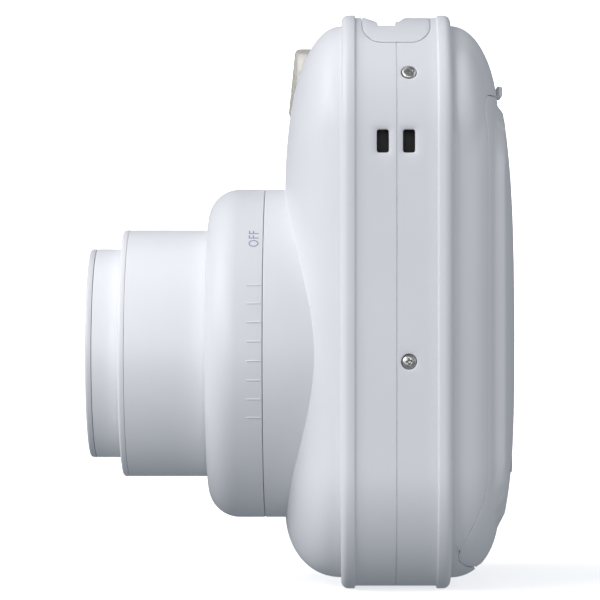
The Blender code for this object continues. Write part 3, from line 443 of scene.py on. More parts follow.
def metal(name, colour, roughness, stretch=(1, 1, 1)):
    """Metal with fine streaks and worn patches."""
    made, tree, shader = shader_of(name, roughness, Metallic=1.0)
    noise = object_noise(tree, 900, 4)
    mapping = tree.nodes.new("ShaderNodeMapping")
    mapping.inputs["Scale"].default_value = stretch
    place = noise.inputs["Vector"].links[0].from_socket
    tree.links.new(place, mapping.inputs["Vector"])
    tree.links.new(mapping.outputs["Vector"], noise.inputs["Vector"])
    two_tone(tree, noise, [0.82 * part for part in colour], colour, shader.inputs["Base Color"], 0.3, 0.7)
    varied(tree, noise, roughness - 0.06, roughness + 0.1, shader.inputs["Roughness"])
    bumped(tree, shader, noise, 0.08, 0.00004)
    return made


def steel():
    return metal("steel_look", (0.60, 0.585, 0.575), 0.28, (0.2, 1, 1))


def brass():
    return metal("brass_look", (0.78, 0.6, 0.28), 0.3)


def mirror():
    return metal("mirror_look", (0.86, 0.87, 0.88), 0.1)


def rubber():
    return moulded("rubber_look", (0.035, 0.035, 0.035), 0.75, grain=1800, strength=0.35, specular=0.3)


def clear(name, colour, roughness, ior, transmission, alpha=1.0):
    made, tree, shader = shader_of(
        name, roughness, IOR=ior, Transmission_Weight=transmission, Alpha=alpha
    )
    haze = object_noise(tree, 240, 3)
    two_tone(tree, haze, [0.96 * part for part in colour], colour, shader.inputs["Base Color"])
    varied(tree, haze, roughness, roughness + 0.03, shader.inputs["Roughness"])
    return made


def lens_glass():
    return clear("lens_glass_look", (0.90, 0.93, 0.97), 0.02, 1.52, 1.0)


def coated_glass():
    """Front element glass with the faint violet and green of an anti-reflection coating."""
    made, tree, shader = shader_of(
        "coated_glass_look", 0.02, IOR=1.55, Transmission_Weight=1.0, Coat_Weight=0.35, Coat_IOR=1.6
    )
    shader.inputs["Coat Tint"].default_value = (0.93, 0.90, 0.98, 1)
    haze = object_noise(tree, 300, 2)
    two_tone(tree, haze, (0.50, 0.53, 0.58), (0.56, 0.58, 0.64), shader.inputs["Base Color"])
    varied(tree, haze, 0.015, 0.04, shader.inputs["Roughness"])
    return made


def clear_cover():
    """The flash window: clear warm-grey plastic, misted by its fine prisms."""
    return clear("clear_cover_look", (0.80, 0.77, 0.71), 0.22, 1.49, 0.55)


def smoked_cover():
    return clear("smoked_cover_look", (0.30, 0.30, 0.31), 0.06, 1.49, 0.8)


def board_green():
    """Solder mask over copper tracks."""
    made, tree, shader = shader_of("board_green_look", 0.35)
    place = tree.nodes.new("ShaderNodeTexCoord")
    tracks = add(tree, "ShaderNodeTexBrick", Scale=260.0, Mortar_Size=0.06)
    tracks.inputs["Color1"].default_value = (0.02, 0.17, 0.07, 1)
    tracks.inputs["Color2"].default_value = (0.025, 0.2, 0.08, 1)
    tracks.inputs["Mortar"].default_value = (0.06, 0.34, 0.14, 1)
    tree.links.new(place.outputs["Object"], tracks.inputs["Vector"])
    tree.links.new(tracks.outputs["Color"], shader.inputs["Base Color"])
    return made


LOOKS = (
    white_shell, white_trim, barrel_plastic, black_plastic, grey_plastic, print_ink, steel, brass,
    mirror, rubber, lens_glass, coated_glass, clear_cover, smoked_cover, board_green,
)
MAKERS = {make.__name__: make for make in LOOKS}
MATERIALS = {}


def material(look):
    """A look's material, made the first time that it is asked for."""
    if look not in MATERIALS:
        MATERIALS[look] = MAKERS[look]()
    return MATERIALS[look]


# Casing surfaces


def rounded_outline(half, bottom, top, radius, top_radius=None):
    """A rounded rectangle in X and Z, anticlockwise from its lower right corner, with its
    straight sides divided too."""
    upper = top_radius or radius
    corners = (
        (half - radius, bottom + radius, radius, -90), (half - upper, top - upper, upper, 0),
        (upper - half, top - upper, upper, 90), (radius - half, bottom + radius, radius, 180),
    )
    arcs = []
    for x, z, size, first in corners:
        turns = [math.radians(first + 90 * i / CORNER_STEPS) for i in range(CORNER_STEPS + 1)]
        arcs.append([(x + size * math.cos(t), z + size * math.sin(t)) for t in turns])
    points = []
    for arc, after in zip(arcs, arcs[1:] + arcs[:1]):
        points += arc
        start, end = Vector(arc[-1]), Vector(after[0])
        points += [tuple(start.lerp(end, i / SIDE_STEPS)) for i in range(1, SIDE_STEPS)]
    return points


def body_ring(y, half, bottom, top, radius):
    return [(x, y, z) for x, z in rounded_outline(half, bottom, top, radius)]


def band_ring(y, inset):
    """The side band's outline, drawn in by an inset."""
    return body_ring(y, WIDTH / 2 - inset, inset, HEIGHT - inset, CORNER_RADIUS - inset)


def dome_shape(side, spread):
    """The half width, bottom, top and corner radius of a dome's ring."""
    flat_half, flat_bottom, flat_top = FRONT_FLAT if side < 0 else REAR_FLAT
    base_half = FRONT_BASE_HALF if side < 0 else REAR_BASE_HALF
    half = flat_half + (base_half - flat_half) * spread
    bottom = flat_bottom + (DOME_INSET - flat_bottom) * spread
    top = flat_top + (HEIGHT - DOME_INSET - flat_top) * spread
    radius = FLAT_RADIUS + (CORNER_RADIUS - DOME_INSET - FLAT_RADIUS) * spread
    return half, bottom, top, radius


def dome_rings(side, shrink=0.0, steps=DOME_STEPS):
    """Rings from a dome's base at the rib to its flat middle."""
    depth = (FRONT_DEPTH if side < 0 else REAR_DEPTH) - shrink
    rings = []
    for i in range(steps + 1):
        turn = math.pi / 2 * i / steps
        spread = max(math.cos(turn), 0) ** (2 / DOME_POWER)
        rise = math.sin(turn) ** (2 / DOME_POWER)
        half, bottom, top, radius = dome_shape(side, spread)
        y = side * (RIB_OUTER + depth * rise)
        rings.append(body_ring(y, half - shrink, bottom + shrink, top - shrink, radius - shrink))
    return rings


def outline_distance(x, z, half, bottom, top, radius):
    """How far a point is outside a rounded rectangle; negative inside."""
    across = abs(x) - half + radius
    along = abs(z - (bottom + top) / 2) - (top - bottom) / 2 + radius
    outside = math.hypot(max(across, 0), max(along, 0))
    return outside + min(max(across, along), 0) - radius


def dome_rise(side, x, z):
    """How far a dome's surface stands behind or before its rib's face, above a point."""
    low, high = 0.0, 1.0
    for _ in range(26):
        middle = (low + high) / 2
        if outline_distance(x, z, *dome_shape(side, middle)) < 0:
            high = middle
        else:
            low = middle
    across = min(high ** (DOME_POWER / 2), 1.0)
    return (FRONT_DEPTH if side < 0 else REAR_DEPTH) * (1 - across**2) ** (1 / DOME_POWER)


def band_and_rib(side):
    """Rings from the parting line over the band and the rib to the dome's foot."""
    fillet = 0.18 * mm
    rows = [
        (SEAM, BAND_INSET + 0.07 * mm),
        (SEAM + 0.05 * mm, BAND_INSET + 0.01 * mm),
        (SEAM + 0.12 * mm, BAND_INSET),
        (3 * mm, BAND_INSET),
        (6 * mm, BAND_INSET),
        (RIB_INNER - fillet, BAND_INSET),
        (RIB_INNER, BAND_INSET - 0.06 * mm),
        (RIB_INNER + 0.02 * mm, fillet),
        (RIB_INNER + 0.3 * fillet, 0.3 * fillet),
        (RIB_INNER + fillet, 0),
    ]
    rings = [band_ring(side * y, inset) for y, inset in rows]
    for i in range(9):
        turn = math.pi / 2 * i / 8
        y = RIB_OUTER - RIB_ROUND * (1 - math.sin(turn))
        rings.append(band_ring(side * y, RIB_ROUND * (1 - math.cos(turn))))
    return rings


def inner_rings(side, wall=WALL):
    band = BAND_INSET + wall
    middle = [band_ring(side * SEAM, band), band_ring(side * RIB_INNER, band)]
    return middle + dome_rings(side, wall, 10)


def full_half(name, side):
    """One half of the casing as a hollow cup, open at the parting line."""
    return loft(name, inner_rings(side)[::-1] + band_and_rib(side) + dome_rings(side))


def solid_half(name, side):
    """One half of the casing's outer form, filled."""
    return loft(name, [band_ring(0, BAND_INSET)] + band_and_rib(side)[2:] + dome_rings(side))


def u_outline(grow, floor):
    """The film exit frame's outline across the body, open at the top."""
    half = FRAME_HALF + grow
    bottom = floor - grow
    radius = 4 * mm + grow
    points = [(half, HEIGHT + 5 * mm), (-half, HEIGHT + 5 * mm)]
    for centre, first in ((radius - half, 180), (half - radius, 270)):
        for i in range(13):
            turn = math.radians(first + 90 * i / 12)
            points.append((centre + radius * math.cos(turn), bottom + radius * (1 + math.sin(turn))))
    return points


# Camera, light and room


SENSOR_WIDTH, FOCAL_LENGTH = 36, 233.1  # in the camera's own millimetres
FRAME_SHIFT = -49 / 600
CAMERA_PLACE = (0.85, SEAM_Y - 9.86 * mm, 61 * mm)


def make_camera():
    data = bpy.data.cameras.new("view")
    data.sensor_width = SENSOR_WIDTH
    data.lens = FOCAL_LENGTH
    data.shift_x = FRAME_SHIFT
    camera = bpy.data.objects.new("view", data)
    bpy.context.scene.collection.objects.link(camera)
    camera.location = CAMERA_PLACE
    camera.rotation_euler = (math.radians(90), 0, math.radians(90))
    bpy.context.scene.camera = camera


def add_area(name, place, target, size, power):
    data = bpy.data.lights.new(name, "AREA")
    data.shape = "RECTANGLE"
    data.size, data.size_y = size
    data.energy = power
    light = bpy.data.objects.new(name, data)
    bpy.context.scene.collection.objects.link(light)
    light.location = place
    aim = Vector(target) - Vector(place)
    light.rotation_euler = aim.to_track_quat("-Z", "Y").to_euler()


def make_room():
    """A pale sweep of floor and wall, a dim blue-white world, and big soft lamps."""
    sweep = [(WALL_X, 3.0), (WALL_X, 0.5)]
    for i in range(1, 12):
        turn = math.radians(180 + 90 * i / 12)
        sweep.append((WALL_X + 0.5 + 0.5 * math.cos(turn), 0.5 + 0.5 * math.sin(turn)))
    sweep += [(WALL_X + 0.5, 0.0), (3.0, 0.0)]
    form = bmesh.new()
    rows = [[form.verts.new((x, y, z)) for x, z in sweep] for y in (-3, 3)]
    for i in range(len(sweep) - 1):
        form.faces.new((rows[0][i], rows[0][i + 1], rows[1][i + 1], rows[1][i]))
    mesh = bpy.data.meshes.new("floor")
    form.to_mesh(mesh)
    form.free()
    mesh.shade_smooth()
    floor = bpy.data.objects.new("floor", mesh)
    bpy.context.scene.collection.objects.link(floor)
    floor.visible_diffuse = False
    floor.visible_glossy = False
    made, tree, shader = shader_of("pale_floor", 0.9, Emission_Strength=0.6)
    shader.inputs["Emission Color"].default_value = (1, 1, 1, 1)
    noise = object_noise(tree, 3, 2)
    two_tone(tree, noise, (0.93, 0.93, 0.93), (0.95, 0.95, 0.95), shader.inputs["Base Color"])
    mesh.materials.append(made)

    world = bpy.data.worlds.new("studio")
    world.use_nodes = True
    background = world.node_tree.nodes["Background"]
    background.inputs["Color"].default_value = (0.82, 0.91, 1.0, 1)
    background.inputs["Strength"].default_value = WORLD_STRENGTH
    bpy.context.scene.world = world
    bpy.context.scene.view_settings.view_transform = "Standard"

    for name, (place, target, size, power) in LAMPS.items():
        add_area(name, place, target, size, power)


WALL_X = -1.3
WORLD_STRENGTH = 0.26
AIM = (0, 0, 0.06)
# place, target, (width, height), watts
LAMPS = {
    "front_high": ((0.25, -1.1, 0.75), AIM, (0.9, 0.9), 8.2),
    "front_side": ((0.95, -0.75, 0.5), AIM, (0.6, 0.6), 5.5),
    "top_front": ((-0.05, -0.5, 1.2), AIM, (1.0, 1.0), 2.4),
    "side_level": ((1.3, -0.1, 0.22), AIM, (0.8, 0.4), 2.3),
    "rear_high": ((0.5, 1.1, 0.8), AIM, (0.8, 0.8), 2.2),
    "rear_level": ((0.6, 1.2, 0.25), AIM, (0.7, 0.4), 1.5),
    "wall": ((-0.4, 0, 1.3), (-1.4, 0, 1.0), (2.4, 0.6), 30),
}


# Casing pieces


def lens_hole():
    return rod("lens_hole", "Y", (LENS_X, LENS_Z), RING_RADIUS - 0.1 * mm, -40 * mm, -9 * mm, TURN_STEPS)


def node_middle(node):
    low, high = cad_low(node), cad_high(node)
    middle = (low + high) / 2
    return Vector((middle.x, middle.y - SEAM_Y, middle.z)), (high - low) / 2


def strap_slots():
    """Centres of the four strap slots: (side, y)."""
    return [(side, y) for side in (-1, 1) for y in (-2.9 * mm, 2.5 * mm)]


SLOT_Z = 93.7 * mm
SLOT_HALF = (1.25 * mm, 2.38 * mm)


def slot_outline(y, grow, radius):
    half_y, half_z = SLOT_HALF[0] + grow, SLOT_HALF[1] + grow
    return rounded_box((y - half_y, SLOT_Z - half_z), (y + half_y, SLOT_Z + half_z), radius, 6)


def strap_slot_cutter(side, y):
    """A slot with a soft dished rim where it meets the band."""
    surface = WIDTH / 2 - BAND_INSET
    rings = []
    for depth, grow, radius in (
        (-6.0, 0.0, 0.5), (-0.45, 0.0, 0.5),
        (-0.3, 0.05, 0.55), (-0.2, 0.18, 0.7),
        (-0.12, 0.4, 0.9), (-0.05, 0.75, 1.2),
        (0.02, 1.15, 1.6), (0.6, 1.5, 1.9),
    ):
        points = slot_outline(y, grow * mm, radius * mm)
        rings.append([(side * (surface + depth * mm), a, b) for a, b in points])
    return loft("slot_cutter", rings)


def cover_opening(grow):
    middle, half = node_middle("battery_cover")
    low = (-WIDTH, middle.y - half.y - grow, middle.z - half.z - grow)
    high = (middle.x + half.x + grow, middle.y + half.y + grow, middle.z + half.z + grow)
    return box("cover_opening", low, high)


def crowned(node):
    """Lowers the body's top towards its two sides, so that it is slightly crowned."""
    for vert in node.data.vertices:
        along = min(max((abs(vert.co.x) - 8 * mm) / (22 * mm), 0), 1)
        up = min(max((vert.co.z - 103 * mm) / (16 * mm), 0), 1)
        vert.co.z -= CROWN * along**2 * (3 - 2 * along) * up**2 * (3 - 2 * up)
    return node


def make_front_shell():
    shell = full_half("front_shell", -1)
    view, _ = node_middle("viewfinder_window")
    _, tube = node_middle("viewfinder_tube")
    button, button_half = node_middle("shutter_button")
    sensor, _ = node_middle("light_sensor_window")
    flash, flash_half = node_middle("flash_window")
    cut(
        shell,
        lens_hole(),
        rod("view_hole", "Y", (view.x, view.z), tube.x + 0.1 * mm, -40 * mm, 0, 64),
        rod("button_hole", "Y", (button.x, button.z), button_half.x + 0.15 * mm, -40 * mm, 0, 72),
        rod("sensor_hole", "Y", (sensor.x, sensor.z), 2.15 * mm, -40 * mm, -12 * mm, 40),
        prism("flash_hole", flash_outline(flash, flash_half, 0.1 * mm), "Y", -40 * mm, -12 * mm),
        prism("frame_pocket", u_outline(0.08 * mm, FRAME_BOTTOM), "X", -WIDTH, WIDTH),
        cover_opening(0.1 * mm),
        *[strap_slot_cutter(side, y) for side, y in strap_slots() if y < 0],
    )
    soften(shell)
    crowned(shell)
    finish(shell, "white_shell", "camera_body", ["front_case"])


def flash_outline(middle, half, grow):
    across, along = half.x + grow, half.z + grow
    low = (middle.x - across, middle.z - along)
    high = (middle.x + across, middle.z + along)
    return rounded_box(low, high, 1.6 * mm, 8)


SWELL_HEIGHT = 1.3 * mm
# Middle and half extent of the swelling, round the corner and along Y
SWELL_TURN = (math.radians(22), math.radians(34))
SWELL_Y = (14.6 * mm, 4.2 * mm)


def shoulder_swell(x, y, z):
    """How far the rear shell swells outwards behind its rib at the two upper corners."""
    centre_x = WIDTH / 2 - CORNER_RADIUS
    centre_z = HEIGHT - CORNER_RADIUS
    turn = math.atan2(z - centre_z, abs(x) - centre_x)
    along = (turn - SWELL_TURN[0]) / SWELL_TURN[1]
    across = (y - SWELL_Y[0]) / SWELL_Y[1]
    reach = along**2 + across**2
    if abs(x) < centre_x or reach >= 1:
        return 0.0
    return SWELL_HEIGHT * (1 - reach) ** 1.1


def swollen(ring):
    """A ring with the shoulder swellings pushed out from the corners' centres."""
    centre_x = WIDTH / 2 - CORNER_RADIUS
    centre_z = HEIGHT - CORNER_RADIUS
    points = []
    for x, y, z in ring:
        swell = shoulder_swell(x, y, z)
        if swell:
            side = math.copysign(1, x)
            away = Vector((x - side * centre_x, z - centre_z)).normalized()
            x, z = x + away.x * swell, z + away.y * swell
        points.append((x, y, z))
    return points


def make_rear_shell():
    rings = inner_rings(1)[::-1] + band_and_rib(1) + [swollen(ring) for ring in dome_rings(1)]
    shell = loft("rear_shell", rings)
    eye, _ = node_middle("eyepiece")
    _, tube = node_middle("viewfinder_tube")
    latch, _ = node_middle("door_latch")
    low = (latch.x - 4.2 * mm, 15 * mm, latch.z - 0.9 * mm)
    high = (latch.x + 4.2 * mm, 30 * mm, latch.z + 3.4 * mm)
    cut(
        shell,
        prism("door_recess", door_outline(0.12 * mm), "Y", DOOR_START - 0.2 * mm, 60 * mm),
        rod("knuckle", "X", (HINGE_Y, HINGE_Z), 0.8 * mm, -DOOR_HALF, DOOR_HALF, 32),
        rod("eyepiece_hole", "Y", (eye.x, eye.z), tube.x + 0.1 * mm, 0, 40 * mm, 64),
        prism("frame_pocket", u_outline(0.08 * mm, FRAME_BOTTOM), "X", -WIDTH, WIDTH),
        box("latch_slot", low, high),
        cover_opening(0.1 * mm),
        *[strap_slot_cutter(side, y) for side, y in strap_slots() if y > 0],
        *[screw_recess(name) for name in SCREWS],
    )
    soften(shell)
    crowned(shell)
    finish(shell, "white_shell", "camera_body", ["rear_case"])


def make_film_frame():
    """The insert across the top, with ramps down to the groove that the film leaves by."""
    body = join(solid_half("film_frame", -1), solid_half("rear", 1))
    keep(body, prism("outline", u_outline(0, FRAME_BOTTOM), "X", -WIDTH, WIDTH))
    top = HEIGHT - BAND_INSET
    floor = top - GROOVE_DEPTH
    high = top + 3 * mm
    front, back = GROOVE
    outline = rounded(
        [
            (front, floor, 0.25 * mm), (back, floor, 0.12 * mm),
            (back + 0.05 * mm, floor + 1.1 * mm, 0.1 * mm),
            (back + 0.75 * mm, floor + 1.0 * mm, 0.1 * mm),
            (back + 2.05 * mm, top - 0.05 * mm, 0.6 * mm),
            (back + 4.2 * mm, top + 0.8 * mm, 0.5 * mm), (back + 4.2 * mm, high, 0),
            (front - 4.2 * mm, high, 0), (front - 3.1 * mm, top + 0.1 * mm, 0.5 * mm),
            (front - 1.4 * mm, floor + 1.5 * mm, 0.7 * mm), (front, floor + 0.8 * mm, 0.3 * mm),
        ],
        4,
    )
    slot_low, slot_high = cad_low("film_chamber"), cad_high("film_chamber")
    slot = box(
        "slot",
        (slot_low.x + 4 * mm, -2.9 * mm, 100 * mm),
        (slot_high.x - 4 * mm, -1.1 * mm, HEIGHT + 5 * mm),
    )
    hollow = inner_hollow(5.2 * mm)
    cut(body, hollow, prism("groove", outline, "X", -WIDTH, WIDTH), slot)
    soften(body, 0.15 * mm)
    crowned(body)
    finish(body, "white_trim", "camera_body", ["film_exit_frame"])


def inner_hollow(wall):
    front = dome_rings(-1, wall, 8)[::-1]
    band = BAND_INSET + wall
    return loft(
        "hollow",
        front + [band_ring(-RIB_INNER, band), band_ring(RIB_INNER, band)] + dome_rings(1, wall, 8),
    )


# Lens


def make_collar():
    """The fixed collar that the front shell swells into, and the sleeve inside it."""
    wall = 1.6 * mm
    sleeve = MID_RADIUS + 0.4 * mm
    edge = 0.18 * mm
    start = RING_BACK + 0.18 * mm
    collar = turned(
        "lens_collar_skin",
        [
            (RING_RADIUS, start, edge), (RING_RADIUS, COLLAR_BACK, 0),
            (sleeve, COLLAR_BACK, 0), (sleeve, RING_FRONT + 2 * mm, 0.2 * mm),
            (sleeve + wall, RING_FRONT + 2 * mm, 0.2 * mm), (sleeve + wall, COLLAR_BACK - wall, 0),
            (RING_RADIUS - wall, COLLAR_BACK - wall, 0), (RING_RADIUS - wall, start, 0.1 * mm),
        ],
    )
    finish(collar, "white_shell", "camera_body", ["lens_collar"])


def make_dial():
    """The turning ring, its raised tick marks and its printed stop."""
    wall = 1.6 * mm
    bore = MID_RADIUS + 0.35 * mm
    round_edge = 6.7 * mm
    front = RING_FRONT - 0.5 * mm
    back = RING_BACK + 0.06 * mm
    centre_r, centre_y = RING_RADIUS - round_edge, front + round_edge
    corners = [(RING_RADIUS - 0.12 * mm, back, 0), (RING_RADIUS, back - 0.14 * mm, 0.1 * mm)]
    corners += arc(centre_r, centre_y, round_edge, [math.pi / 2 * i / 22 for i in range(23)])
    corners += [
        (bore, front, 0.35 * mm), (bore, RING_FRONT + 2 * mm, 0),
        (bore + wall, RING_FRONT + 2 * mm, 0),
    ]
    inner_turns = [math.pi / 2 * i / 10 for i in range(8, -1, -1)]
    corners += arc(centre_r, centre_y, round_edge - wall, inner_turns)
    corners.append((RING_RADIUS - wall, back, 0))
    finish(turned("dial", corners), "white_shell", "dial", ["dial_ring"])

    marks = bmesh.new()
    for i in range(8):
        turn = math.radians(24.3 - 6.54 * i)
        add_tick(marks, turn)
    ticks = to_object("dial_ticks", marks)
    finish(ticks, "white_trim", "dial")
    make_label()


def add_tick(form, turn):
    """A raised bar along the ring, rounded over, ending just short of the ring's back edge."""
    start, end = RING_BACK - 3.3 * mm, RING_BACK - 0.25 * mm
    half = 0.19 * mm
    height = 0.17 * mm
    sections = ((start, 0.3), (start + 0.15 * mm, 0.85), (start + 0.4 * mm, 1), (end, 1))
    rows = []
    for y, share in sections:
        row = []
        for i in range(9):
            lean = math.pi * i / 8
            across = half * share * math.cos(lean)
            reach = RING_RADIUS - 0.05 * mm + (height + 0.05 * mm) * share * math.sin(lean)
            angle = turn + across / RING_RADIUS
            row.append((LENS_X + reach * math.cos(angle), y, LENS_Z + reach * math.sin(angle)))
        rows.append([form.verts.new(point) for point in row])
    for row, after in zip(rows, rows[1:]):
        for i in range(9):
            j = (i + 1) % 9
            form.faces.new((row[i], row[j], after[j], after[i]))
    form.faces.new(rows[0])
    form.faces.new(reversed(rows[-1]))


def flat_text(name, words, size):
    """Lettering as a thin slab, its middle at the origin, reading along X with its tops to +Y."""
    curve = bpy.data.curves.new(name, "FONT")
    curve.body = words
    curve.size = size
    curve.align_x = "CENTER"
    curve.align_y = "CENTER"
    curve.extrude = 0.02 * mm
    curve.space_character = 1.12
    curve.resolution_u = 6
    holder = bpy.data.objects.new(name + "_text", curve)
    bpy.context.scene.collection.objects.link(holder)
    bpy.context.view_layer.update()
    graph = bpy.context.evaluated_depsgraph_get()
    mesh = bpy.data.meshes.new_from_object(holder.evaluated_get(graph))
    bpy.data.objects.remove(holder)
    form = bmesh.new()
    form.from_mesh(mesh)
    bmesh.ops.remove_doubles(form, verts=form.verts[:], dist=1e-6)
    return form


def make_label():
    """The stop's name printed on the ring, reading up the side."""
    form = flat_text("dial_label", "OFF", 3.0 * mm)
    at_turn = math.radians(90 - 46.5)
    at_y = RING_BACK - 1.75 * mm
    stretch = 0.86
    for vert in form.verts:
        along, up, lift = vert.co
        angle = at_turn + stretch * along / RING_RADIUS
        reach = RING_RADIUS + 0.012 * mm + lift
        vert.co = (LENS_X + reach * math.cos(angle), at_y - up, LENS_Z + reach * math.sin(angle))
    finish(to_object("dial_label", form), "print_ink", "dial")


def make_barrels():
    """The two stages that run out, each a tube with a fine seam behind its front rim."""
    rim = 1.3 * mm
    wall = 1.6 * mm
    fine = 0.06 * mm
    lip = TIP_RADIUS + 0.3 * mm
    mid = turned(
        "mid_tube",
        [
            (MID_RADIUS, MID_FRONT + rim + fine, 0.1 * mm), (MID_RADIUS, MID_BACK, 0),
            (MID_RADIUS - wall, MID_BACK, 0), (MID_RADIUS - wall, MID_FRONT + rim + wall, 0),
            (lip, MID_FRONT + rim + wall, 0), (lip, MID_FRONT + rim + fine, 0),
        ],
    )
    finish(mid, "barrel_plastic", "mid_stage", ["mid_barrel"])
    mid_rim = turned(
        "mid_rim",
        [
            (MID_RADIUS, MID_FRONT + rim, 0.1 * mm), (MID_RADIUS, MID_FRONT, 0.75 * mm),
            (lip, MID_FRONT, 0.2 * mm), (lip, MID_FRONT + rim, 0),
        ],
    )
    finish(mid_rim, "barrel_plastic", "mid_stage", ["mid_bezel"])
    seat = 9 * mm
    tip = turned(
        "tip_tube",
        [
            (TIP_RADIUS, TIP_FRONT + rim + 0.12 * mm, 0.12 * mm), (TIP_RADIUS, TIP_BACK, 0),
            (TIP_RADIUS - wall, TIP_BACK, 0), (TIP_RADIUS - wall, TIP_FRONT + 3.4 * mm, 0),
            (seat, TIP_FRONT + 3.4 * mm, 0), (seat, TIP_FRONT + rim + 0.12 * mm, 0),
        ],
    )
    finish(tip, "barrel_plastic", "front_stage", ["front_barrel"])


def make_lens_face():
    """The lens's front: a dished rim, a stepped dark cone, the glass, and the selfie mirror."""
    rim = 1.3 * mm
    mirror_at, mirror_half = node_middle("selfie_mirror")
    face = turned(
        "tip_face",
        [
            (TIP_RADIUS, TIP_FRONT + rim, 0.1 * mm), (TIP_RADIUS, TIP_FRONT, 0.8 * mm),
            (TIP_RADIUS - 2.2 * mm, TIP_FRONT, 0.3 * mm),
            (TIP_RADIUS - 2.9 * mm, TIP_FRONT + 0.35 * mm, 0.3 * mm),
            (12.4 * mm, TIP_FRONT + 0.35 * mm, 0.3 * mm), (11.8 * mm, TIP_FRONT + rim, 0),
        ],
    )
    centre, radius = (mirror_at.x, mirror_at.z), mirror_half.x + 0.15 * mm
    cut(face, rod("seat", "Y", centre, radius, TIP_FRONT - mm, TIP_FRONT + 0.9 * mm, 64))
    soften(face, 0.1 * mm)
    finish(face, "white_trim", "front_stage", ["front_bezel"])

    dome = bulge(mirror_half.x, TIP_FRONT + 0.3 * mm, TIP_FRONT + 0.52 * mm)
    mirror_piece = turned(
        "mirror_disc",
        [*dome, (mirror_half.x, TIP_FRONT + 0.88 * mm, 0), (0, TIP_FRONT + 0.88 * mm, 0)],
        (mirror_at.x, mirror_at.z),
        64,
    )
    finish(mirror_piece, "mirror", "front_stage", ["selfie_mirror"])

    steps = [(12.3 * mm, TIP_FRONT + rim + 0.02 * mm, 0), (12.3 * mm, TIP_FRONT + 0.55 * mm, 0.1 * mm)]
    for i in range(4):
        radius = (11.7 - 0.75 * i) * mm
        depth = TIP_FRONT + (0.55 + 0.3 * i) * mm
        steps += [(radius, depth, 0.05 * mm), (radius - 0.1 * mm, depth + 0.3 * mm, 0.05 * mm)]
    steps += [(8.75 * mm, TIP_FRONT + 1.75 * mm, 0.05 * mm), (8.75 * mm, TIP_FRONT + 2.6 * mm, 0)]
    steps += [(9.6 * mm, TIP_FRONT + 2.6 * mm, 0), (9.6 * mm, TIP_FRONT + 2 * mm, 0)]
    cone = turned("lens_cone", steps)
    finish(cone, "black_plastic", "front_stage")

    glass_at, glass_half = node_middle("front_lens")
    back = glass_at.y + glass_half.y
    curve = bulge(8.65 * mm, back - 1.9 * mm, back - 0.95 * mm, 12)
    glass = turned("front_glass", [*curve, (8.65 * mm, back, 0), (0, back, 0)], steps=96)
    finish(glass, "coated_glass", "front_stage", ["front_lens"])


# Flash, finders and controls


def make_flash():
    """The clear flash window, leaning back to its top, with fine upright prisms inside."""
    middle, half = node_middle("flash_window")
    outline = flash_outline(middle, half, -0.05 * mm)
    low_z, high_z = middle.z - half.z, middle.z + half.z
    rings = []
    for step, inset in ((0.0, 1.1), (0.12, 0.62), (0.35, 0.28), (0.7, 0.08), (1.2, 0.0)):
        ring = []
        for x, z in outline:
            share = (z - low_z) / (high_z - low_z)
            face = -22.9 * mm + 1.3 * mm * share
            x = middle.x + (x - middle.x) * (1 - inset * mm / half.x)
            z = middle.z + (z - middle.z) * (1 - inset * mm / half.z)
            ring.append((x, face + step * mm, z))
        rings.append(ring)
    rings.append([(x, -15.4 * mm, z) for x, z in outline])
    window = loft("flash_cover", rings)
    cut(window, flash_comb(middle.x, half.x - 1.6 * mm, low_z + 1.2 * mm, high_z - 1.2 * mm))
    finish(window, "clear_cover", "camera_body", ["flash_window"])


def flash_comb(centre, half, low, high):
    """A row of upright wedges that leaves fine prisms on the window's inner face."""
    count, inner, depth = 24, -15.2 * mm, 0.9 * mm
    pitch = 2 * half / count
    outline = [(centre - half, inner)]
    for i in range(count):
        left = centre - half + pitch * i
        outline += [(left + 0.1 * pitch, inner - 0.25 * mm), (left + 0.5 * pitch, inner - depth)]
        outline += [(left + 0.9 * pitch, inner - 0.25 * mm)]
    outline.append((centre + half, inner))
    return prism("flash_comb", outline, "Z", low, high)


def make_finders():
    """The viewfinder's two windows, each a glass with a slightly domed outer face."""
    for name, node, front in (("finder_glass", "viewfinder_window", -1), ("eyepiece_glass", "eyepiece", 1)):
        middle, half = node_middle(node)
        outer = middle.y + front * half.y
        inner = middle.y - front * half.y
        curve = bulge(half.x, outer, outer - front * 0.35 * mm)
        glass = turned(name, [*curve, (half.x, inner, 0), (0, inner, 0)], (middle.x, middle.z), 64)
        finish(glass, "coated_glass", "camera_body", [node])


def make_button():
    """The shutter button: a dished cap with a rounded rim on its stem."""
    middle, half = node_middle("shutter_button")
    radius = half.x
    front = middle.y - half.y
    back = middle.y + half.y
    dish = bulge(radius - 1.5 * mm, front + 0.35 * mm, front)
    button = turned(
        "button_cap",
        [
            *dish,
            (radius, front + 0.05 * mm, 1.1 * mm), (radius, back - 4.4 * mm, 0),
            (1.6 * mm, back - 4.4 * mm, 0), (1.6 * mm, back, 0),
            (0, back, 0),
        ],
        (middle.x, middle.z),
        96,
    )
    finish(button, "white_trim", "button", ["shutter_button"])


